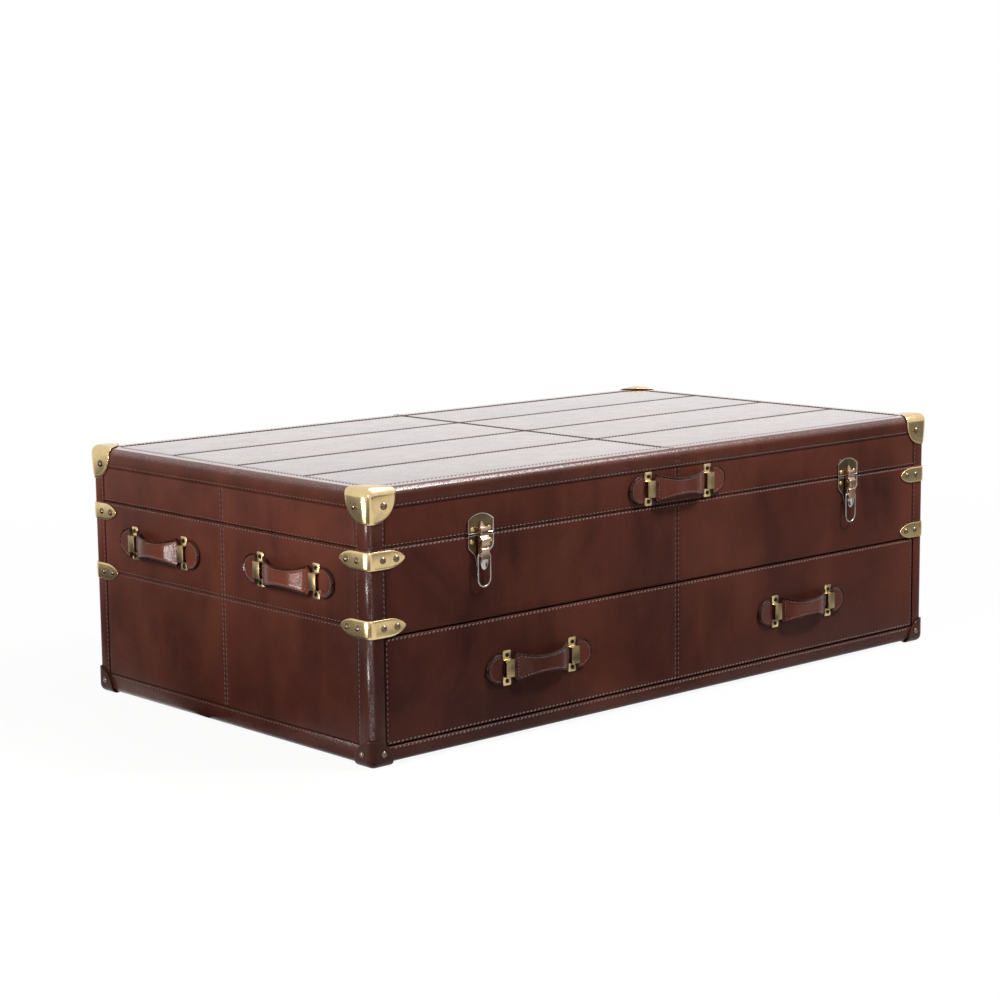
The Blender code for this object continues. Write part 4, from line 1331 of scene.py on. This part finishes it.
def base_mesh():
    """The body's plate, tapering downwards, with the lever's ear, measured from the lever's pivot line."""
    ear_radius, ear_back = 0.0042, -0.0060
    body = plate([(0.025, 0.0062), (0.025, -0.0098), (0.0235, -0.0135), (0.0120, -0.0240), (0.0108, -0.0300),
                  (0.0085, -0.0388)])
    bmesh.ops.translate(body, vec=(0, 0.0069, 0), verts=body.verts)
    ear = [(ear_radius * math.cos(a), ear_radius * math.sin(a)) for a in steps_between(-QUARTER, QUARTER, 10)]
    ear = [(ear_back, -ear_radius)] + ear + [(ear_back, ear_radius)]
    parts = [body, painted(prism(ear, 0.005, 0.0004), 0)]
    for x, turn in ((-0.0178, 0.9), (0.0178, 0.2)):
        parts.append(painted(screw((x, 0.0052, -0.0035), 0.0036, turn), 2))
    return joined(parts)


def lever_mesh():
    """The stepped lever, hanging from its pivot: two copper segments and a rounded silvery tip."""
    back, front, soft = -0.0042, 0.0060, 0.0007
    knuckle = steps_between(math.pi, math.radians(20), 8)
    upper = [(back, -0.0100), (back, 0.0)] + [(0.0048 * math.cos(a), 0.0062 * math.sin(a)) for a in knuckle]
    upper += [(front, 0.0005), (front - 0.0004, -0.0092), (front - 0.0016, -0.0103)]
    middle = [(back, -0.0105), (front - 0.0034, -0.0105), (front - 0.0030, -0.0118),
              (front - 0.0002, -0.0142), (front - 0.0014, -0.0310), (back, -0.0310)]
    parts = [painted(prism(upper, 0.0156, soft, 3), 0), painted(prism(middle, 0.0152, soft, 3), 0)]
    tip = dome(24, 16, (0.0082, 0.0060, 0.0158), 0.0004, -1)
    parts.append(painted(moved(tip, Matrix.Translation((0, -0.0002, -0.0302))), 1))
    for side in (-1, 1):
        place = Matrix.Translation((side * 0.0080, -0.001, -0.023))
        boss = moved(cone(18, 0.0034, 0.0030, 0.0016), place @ Matrix.Rotation(side * QUARTER, 4, "Y"))
        parts.append(painted(boss, 1))
    return joined(parts)


def bail_mesh():
    """The wire bail, hanging from its turned-in ends, with its pivot line at the origin."""
    wire, half, length, turn_in, bend = 0.0014, 0.012, 0.047, 0.0056, 0.0024
    bm = bmesh.new()
    bmesh.ops.create_circle(bm, cap_ends=True, segments=10, radius=wire)
    moved(bm, Matrix.Translation((-turn_in, 0, 0)) @ Matrix.Rotation(-QUARTER, 4, "Y"))

    def straight(faces, way):
        ends = drawn_out(bm, faces, way)
        bmesh.ops.delete(bm, geom=faces, context="FACES_ONLY")
        return ends

    def turned(faces, centre, angle, steps):
        swept = bmesh.ops.spin(bm, geom=faces, cent=centre, axis=(0, 1, 0), angle=angle, steps=steps)
        return [f for f in swept["geom_last"] if isinstance(f, bmesh.types.BMFace)]

    inward = (-(half - turn_in - bend), 0, 0)
    leg = length - half - bend
    last = straight(bm.faces[:], inward)
    last = turned(last, (-half + bend, 0, -bend), -QUARTER, 5)
    last = straight(last, (0, 0, -leg))
    last = turned(last, (0, 0, -length + half), -math.pi, 18)
    last = straight(last, (0, 0, leg))
    last = turned(last, (half - bend, 0, -bend), -QUARTER, 5)
    straight(last, inward)
    bmesh.ops.remove_doubles(bm, verts=bm.verts, dist=1e-6)
    bmesh.ops.recalc_face_normals(bm, faces=bm.faces)
    return bm


class TRUNK_OT_latches(bpy.types.Operator):
    """Put the two draw latches on the front"""

    bl_idname = "trunk.latches"
    bl_label = "Latches"

    def execute(self, context):
        hinges = [joint for joint in frame["joints"] if joint["type"] == "hinge"]
        pivots = {joint["name"]: Vector(joint["pos_m"]) for joint in hinges}
        plates = [metal_finish(kind) for kind in ("nickel", "copper", "old_brass", "dark_plate")]
        for side in ("left", "right"):
            pivot = pivots[f"latch_lever_{side}_pivot"]
            bail_pivot = pivots[f"latch_bail_{side}_pivot"]
            made = (
                ("latch_keeper", keeper_mesh(), Vector((pivot.x, FRONT - SEAT, SEAM)), "lid", plates),
                ("latch_base", base_mesh(), pivot, "carcass", plates),
                ("latch_lever", lever_mesh(), pivot, None, (metal_finish("copper"), metal_finish("nickel"))),
                ("latch_bail", bail_mesh(), bail_pivot, None, (metal_finish("wire"),)),
            )
            for name, bm, place, body, finishes in made:
                moved(bm, Matrix.Translation(place))
                node = f"{name}_{side}"
                piece(f"{name}_metal_{side}", bm, finishes, body or node, (node,), smooth=40.0)
        return {"FINISHED"}


class TRUNK_OT_stage(bpy.types.Operator):
    """Set up the floor, the lamps, the world and the camera"""

    bl_idname = "trunk.stage"
    bl_label = "Studio"

    def execute(self, context):
        context.scene.camera = self.camera()
        context.scene.world = self.world()
        self.lamps()
        self.floor()
        self.cards()
        context.scene.view_settings.view_transform = "Standard"
        return {"FINISHED"}

    def camera(self):
        data = bpy.data.cameras.new("camera")
        data.sensor_width = 36.0
        data.lens = 84.4956
        camera = linked("camera", data)
        yaw, pitch, roll = (math.radians(a) for a in (42.233, 8.600, -0.579))
        ahead = Vector((math.sin(yaw) * math.cos(pitch), math.cos(yaw) * math.cos(pitch), -math.sin(pitch)))
        right = Vector((math.cos(yaw), -math.sin(yaw), 0))
        up = right.cross(ahead)
        across = right * math.cos(roll) + up * math.sin(roll)
        upright = up * math.cos(roll) - right * math.sin(roll)
        turn = Matrix((across, upright, -ahead)).transposed().to_4x4()
        camera.matrix_world = Matrix.Translation((-2.6575, -2.8598, 0.8733)) @ turn
        return camera

    def lamps(self):
        """Soft lamps; those that aren't mirrored light the trunk without a bright patch on it."""
        white, warm = (1.0, 1.0, 1.0), (1.0, 0.92, 0.84)
        for name, place, aim, power, size, tint, mirrored in (
            ("camera_softbox", (-2.35, -2.55, 0.95), (-0.2, 0, 0.2), 6.0, 0.32, white, True),
            ("left_softbox", (-2.8, -0.50, 1.70), (-0.6, 0, 0.2), 132.0, 0.8, warm, False),
            ("overhead_softbox", (0.62, -0.72, 2.3), (0, 0, 0.3), 58.0, 1.8, white, True),
            ("front_softbox", (1.15, -1.9, 2.7), (0, 0, 0.3), 124.0, 0.5, white, True),
            ("back_softbox", (0.9, 3.0, 1.9), (0, 0, 0.2), 70.0, 1.0, white, False),
        ):
            data = bpy.data.lights.new(name, "AREA")
            data.energy = power
            data.shape = "SQUARE"
            data.size = size
            data.color = tint
            lamp = linked(name, data)
            lamp.visible_camera = False
            lamp.visible_glossy = mirrored
            lamp.location = place
            lamp.rotation_euler = (Vector(aim) - Vector(place)).to_track_quat("-Z", "Y").to_euler()

    def world(self):
        """A faint even light, and a plain white where the backdrop is seen."""
        finish = Finish("studio", "worlds")
        white, faint, full = (1.0, 1.0, 1.0), 0.12, 1.0
        light, plain = (finish.node("ShaderNodeBackground", {}, {"Color": white, "Strength": strength})
                        for strength in (faint, full))
        return finish.shown(finish.either(finish.backdrop(), light, plain), "World")

    def floor(self):
        """A white floor that keeps a little of the trunk's shadow and fades out far off."""
        finish = Finish("studio_floor")
        spot = finish.node("ShaderNodeTexCoord", out="Object")
        far = finish.node("ShaderNodeVectorMath", {"operation": "LENGTH"}, {0: spot}, "Value")
        paint = finish.node("ShaderNodeBsdfDiffuse", {}, {"Color": tuple(colours().floor)})
        white = finish.node("ShaderNodeEmission", {}, {"Strength": 1.0})
        clear = finish.node("ShaderNodeBsdfTransparent")
        whiteness, fade_start, fade_end, radius = 0.93, 1.0, 2.4, 3.0
        near = finish.either(finish.backdrop() * whiteness, paint, white)
        finish.shown(finish.either(finish.span(far, fade_start, fade_end), near, clear))
        bm = bmesh.new()
        bmesh.ops.create_circle(bm, cap_ends=True, segments=96, radius=radius)
        floor = linked("studio_floor", mesh_of("studio_floor", bm, (finish.owner,)))

    def cards(self):
        """Dark cards and one bright strip beside the set, which only reflections see.

        Each card: its name, its centre, its profile of (reach, height) points, the angles that the profile is
        swept between, and its grey, or the strip's strength.
        """
        for name, centre, shape, first, last, grey in (
            ("left_floor_flag", (-0.6, 0.0), ((0.06, 0.002), (1.5, 0.002)), 104, 225, 0.03),
            ("left_grey_flag", (-0.6, 0.0), ((1.5, 0.002), (1.5, 0.13)), 108, 120, 0.25),
            ("left_flag", (-0.6, 0.0), ((1.5, 0.002), (1.5, 0.13)), 120, 161, 0.03),
            ("left_strip", (-0.6, 0.0), ((1.4, 0.030), (1.4, 0.075)), 154, 193, 95.0),
            ("near_floor_flag", (-0.63, -0.36), ((0.5, 0.003), (2.4, 0.003)), 206, 244, 0.05),
            ("front_floor_flag", (-0.1, -0.35), ((0.12, 0.002), (0.70, 0.002)), 258, 345, 0.03),
            ("front_flag", (-0.3, -0.35), ((1.5, 0.12), (1.5, 0.39)), 256, 312, 0.03),
            ("right_flag", (0.55, -0.35), ((0.2, 0.002), (1.5, 0.002), (1.5, 0.39)), 300, 345, 0.16),
        ):
            finish = Finish(name)
            if grey > 1:
                finish.shown(finish.node("ShaderNodeEmission", {}, {"Strength": grey}))
            else:
                finish.shown(finish.node("ShaderNodeBsdfDiffuse", {}, {"Color": (grey, grey, grey)}))
            bm = bmesh.new()
            profile = [bm.verts.new((reach, 0, z)) for reach, z in shape]
            sides = [bm.edges.new(pair) for pair in zip(profile, profile[1:])]
            moved(bm, Matrix.Rotation(math.radians(first), 4, "Z"))
            bmesh.ops.spin(bm, geom=profile + sides, cent=(0, 0, 0), axis=(0, 0, 1),
                           angle=math.radians(last - first), steps=16)
            moved(bm, Matrix.Translation((*centre, 0)))
            card = linked(name, mesh_of(name, bm, (finish.owner,)))
            card.visible_camera = card.visible_diffuse = card.visible_shadow = False


class TRUNK_PT_dresser(bpy.types.Panel):
    """The trunk's pieces, in the order in which they are made"""

    bl_label = "Steamer trunk"
    bl_idname = "TRUNK_PT_dresser"
    bl_space_type = "VIEW_3D"
    bl_region_type = "UI"
    bl_category = "Trunk"

    def draw(self, context):
        column = self.layout.column()
        for operator in OPERATORS:
            column.operator(operator.bl_idname)
        for group in (context.scene.trunk_sizes, context.scene.trunk_colours):
            box = self.layout.box()
            for name in group.bl_rna.properties.keys():
                if name not in ("rna_type", "name"):
                    box.prop(group, name)


OPERATORS = (
    TRUNK_OT_stage,
    TRUNK_OT_lid_leather,
    TRUNK_OT_body_leather,
    TRUNK_OT_drawer,
    TRUNK_OT_inside,
    TRUNK_OT_bindings,
    TRUNK_OT_stitching,
    TRUNK_OT_lid_caps,
    TRUNK_OT_corner_bands,
    TRUNK_OT_foot_caps,
    TRUNK_OT_handles,
    TRUNK_OT_latches,
)
CLASSES = (TrunkSizes, TrunkColours) + OPERATORS + (TRUNK_PT_dresser,)


def register():
    for cls in CLASSES:
        bpy.utils.register_class(cls)
    bpy.types.Scene.trunk_sizes = bpy.props.PointerProperty(type=TrunkSizes)
    bpy.types.Scene.trunk_colours = bpy.props.PointerProperty(type=TrunkColours)


def unregister():
    del bpy.types.Scene.trunk_colours
    del bpy.types.Scene.trunk_sizes
    for cls in reversed(CLASSES):
        bpy.utils.unregister_class(cls)


def main():
    register()
    bpy.ops.trunk.stage()
    bpy.ops.trunk.lid_leather()
    bpy.ops.trunk.body_leather()
    bpy.ops.trunk.drawer()
    bpy.ops.trunk.inside()
    bpy.ops.trunk.bindings()
    bpy.ops.trunk.stitching()
    bpy.ops.trunk.lid_caps()
    bpy.ops.trunk.corner_bands()
    bpy.ops.trunk.foot_caps()
    bpy.ops.trunk.handles()
    bpy.ops.trunk.latches()


if __name__ == "__main__":
    main()
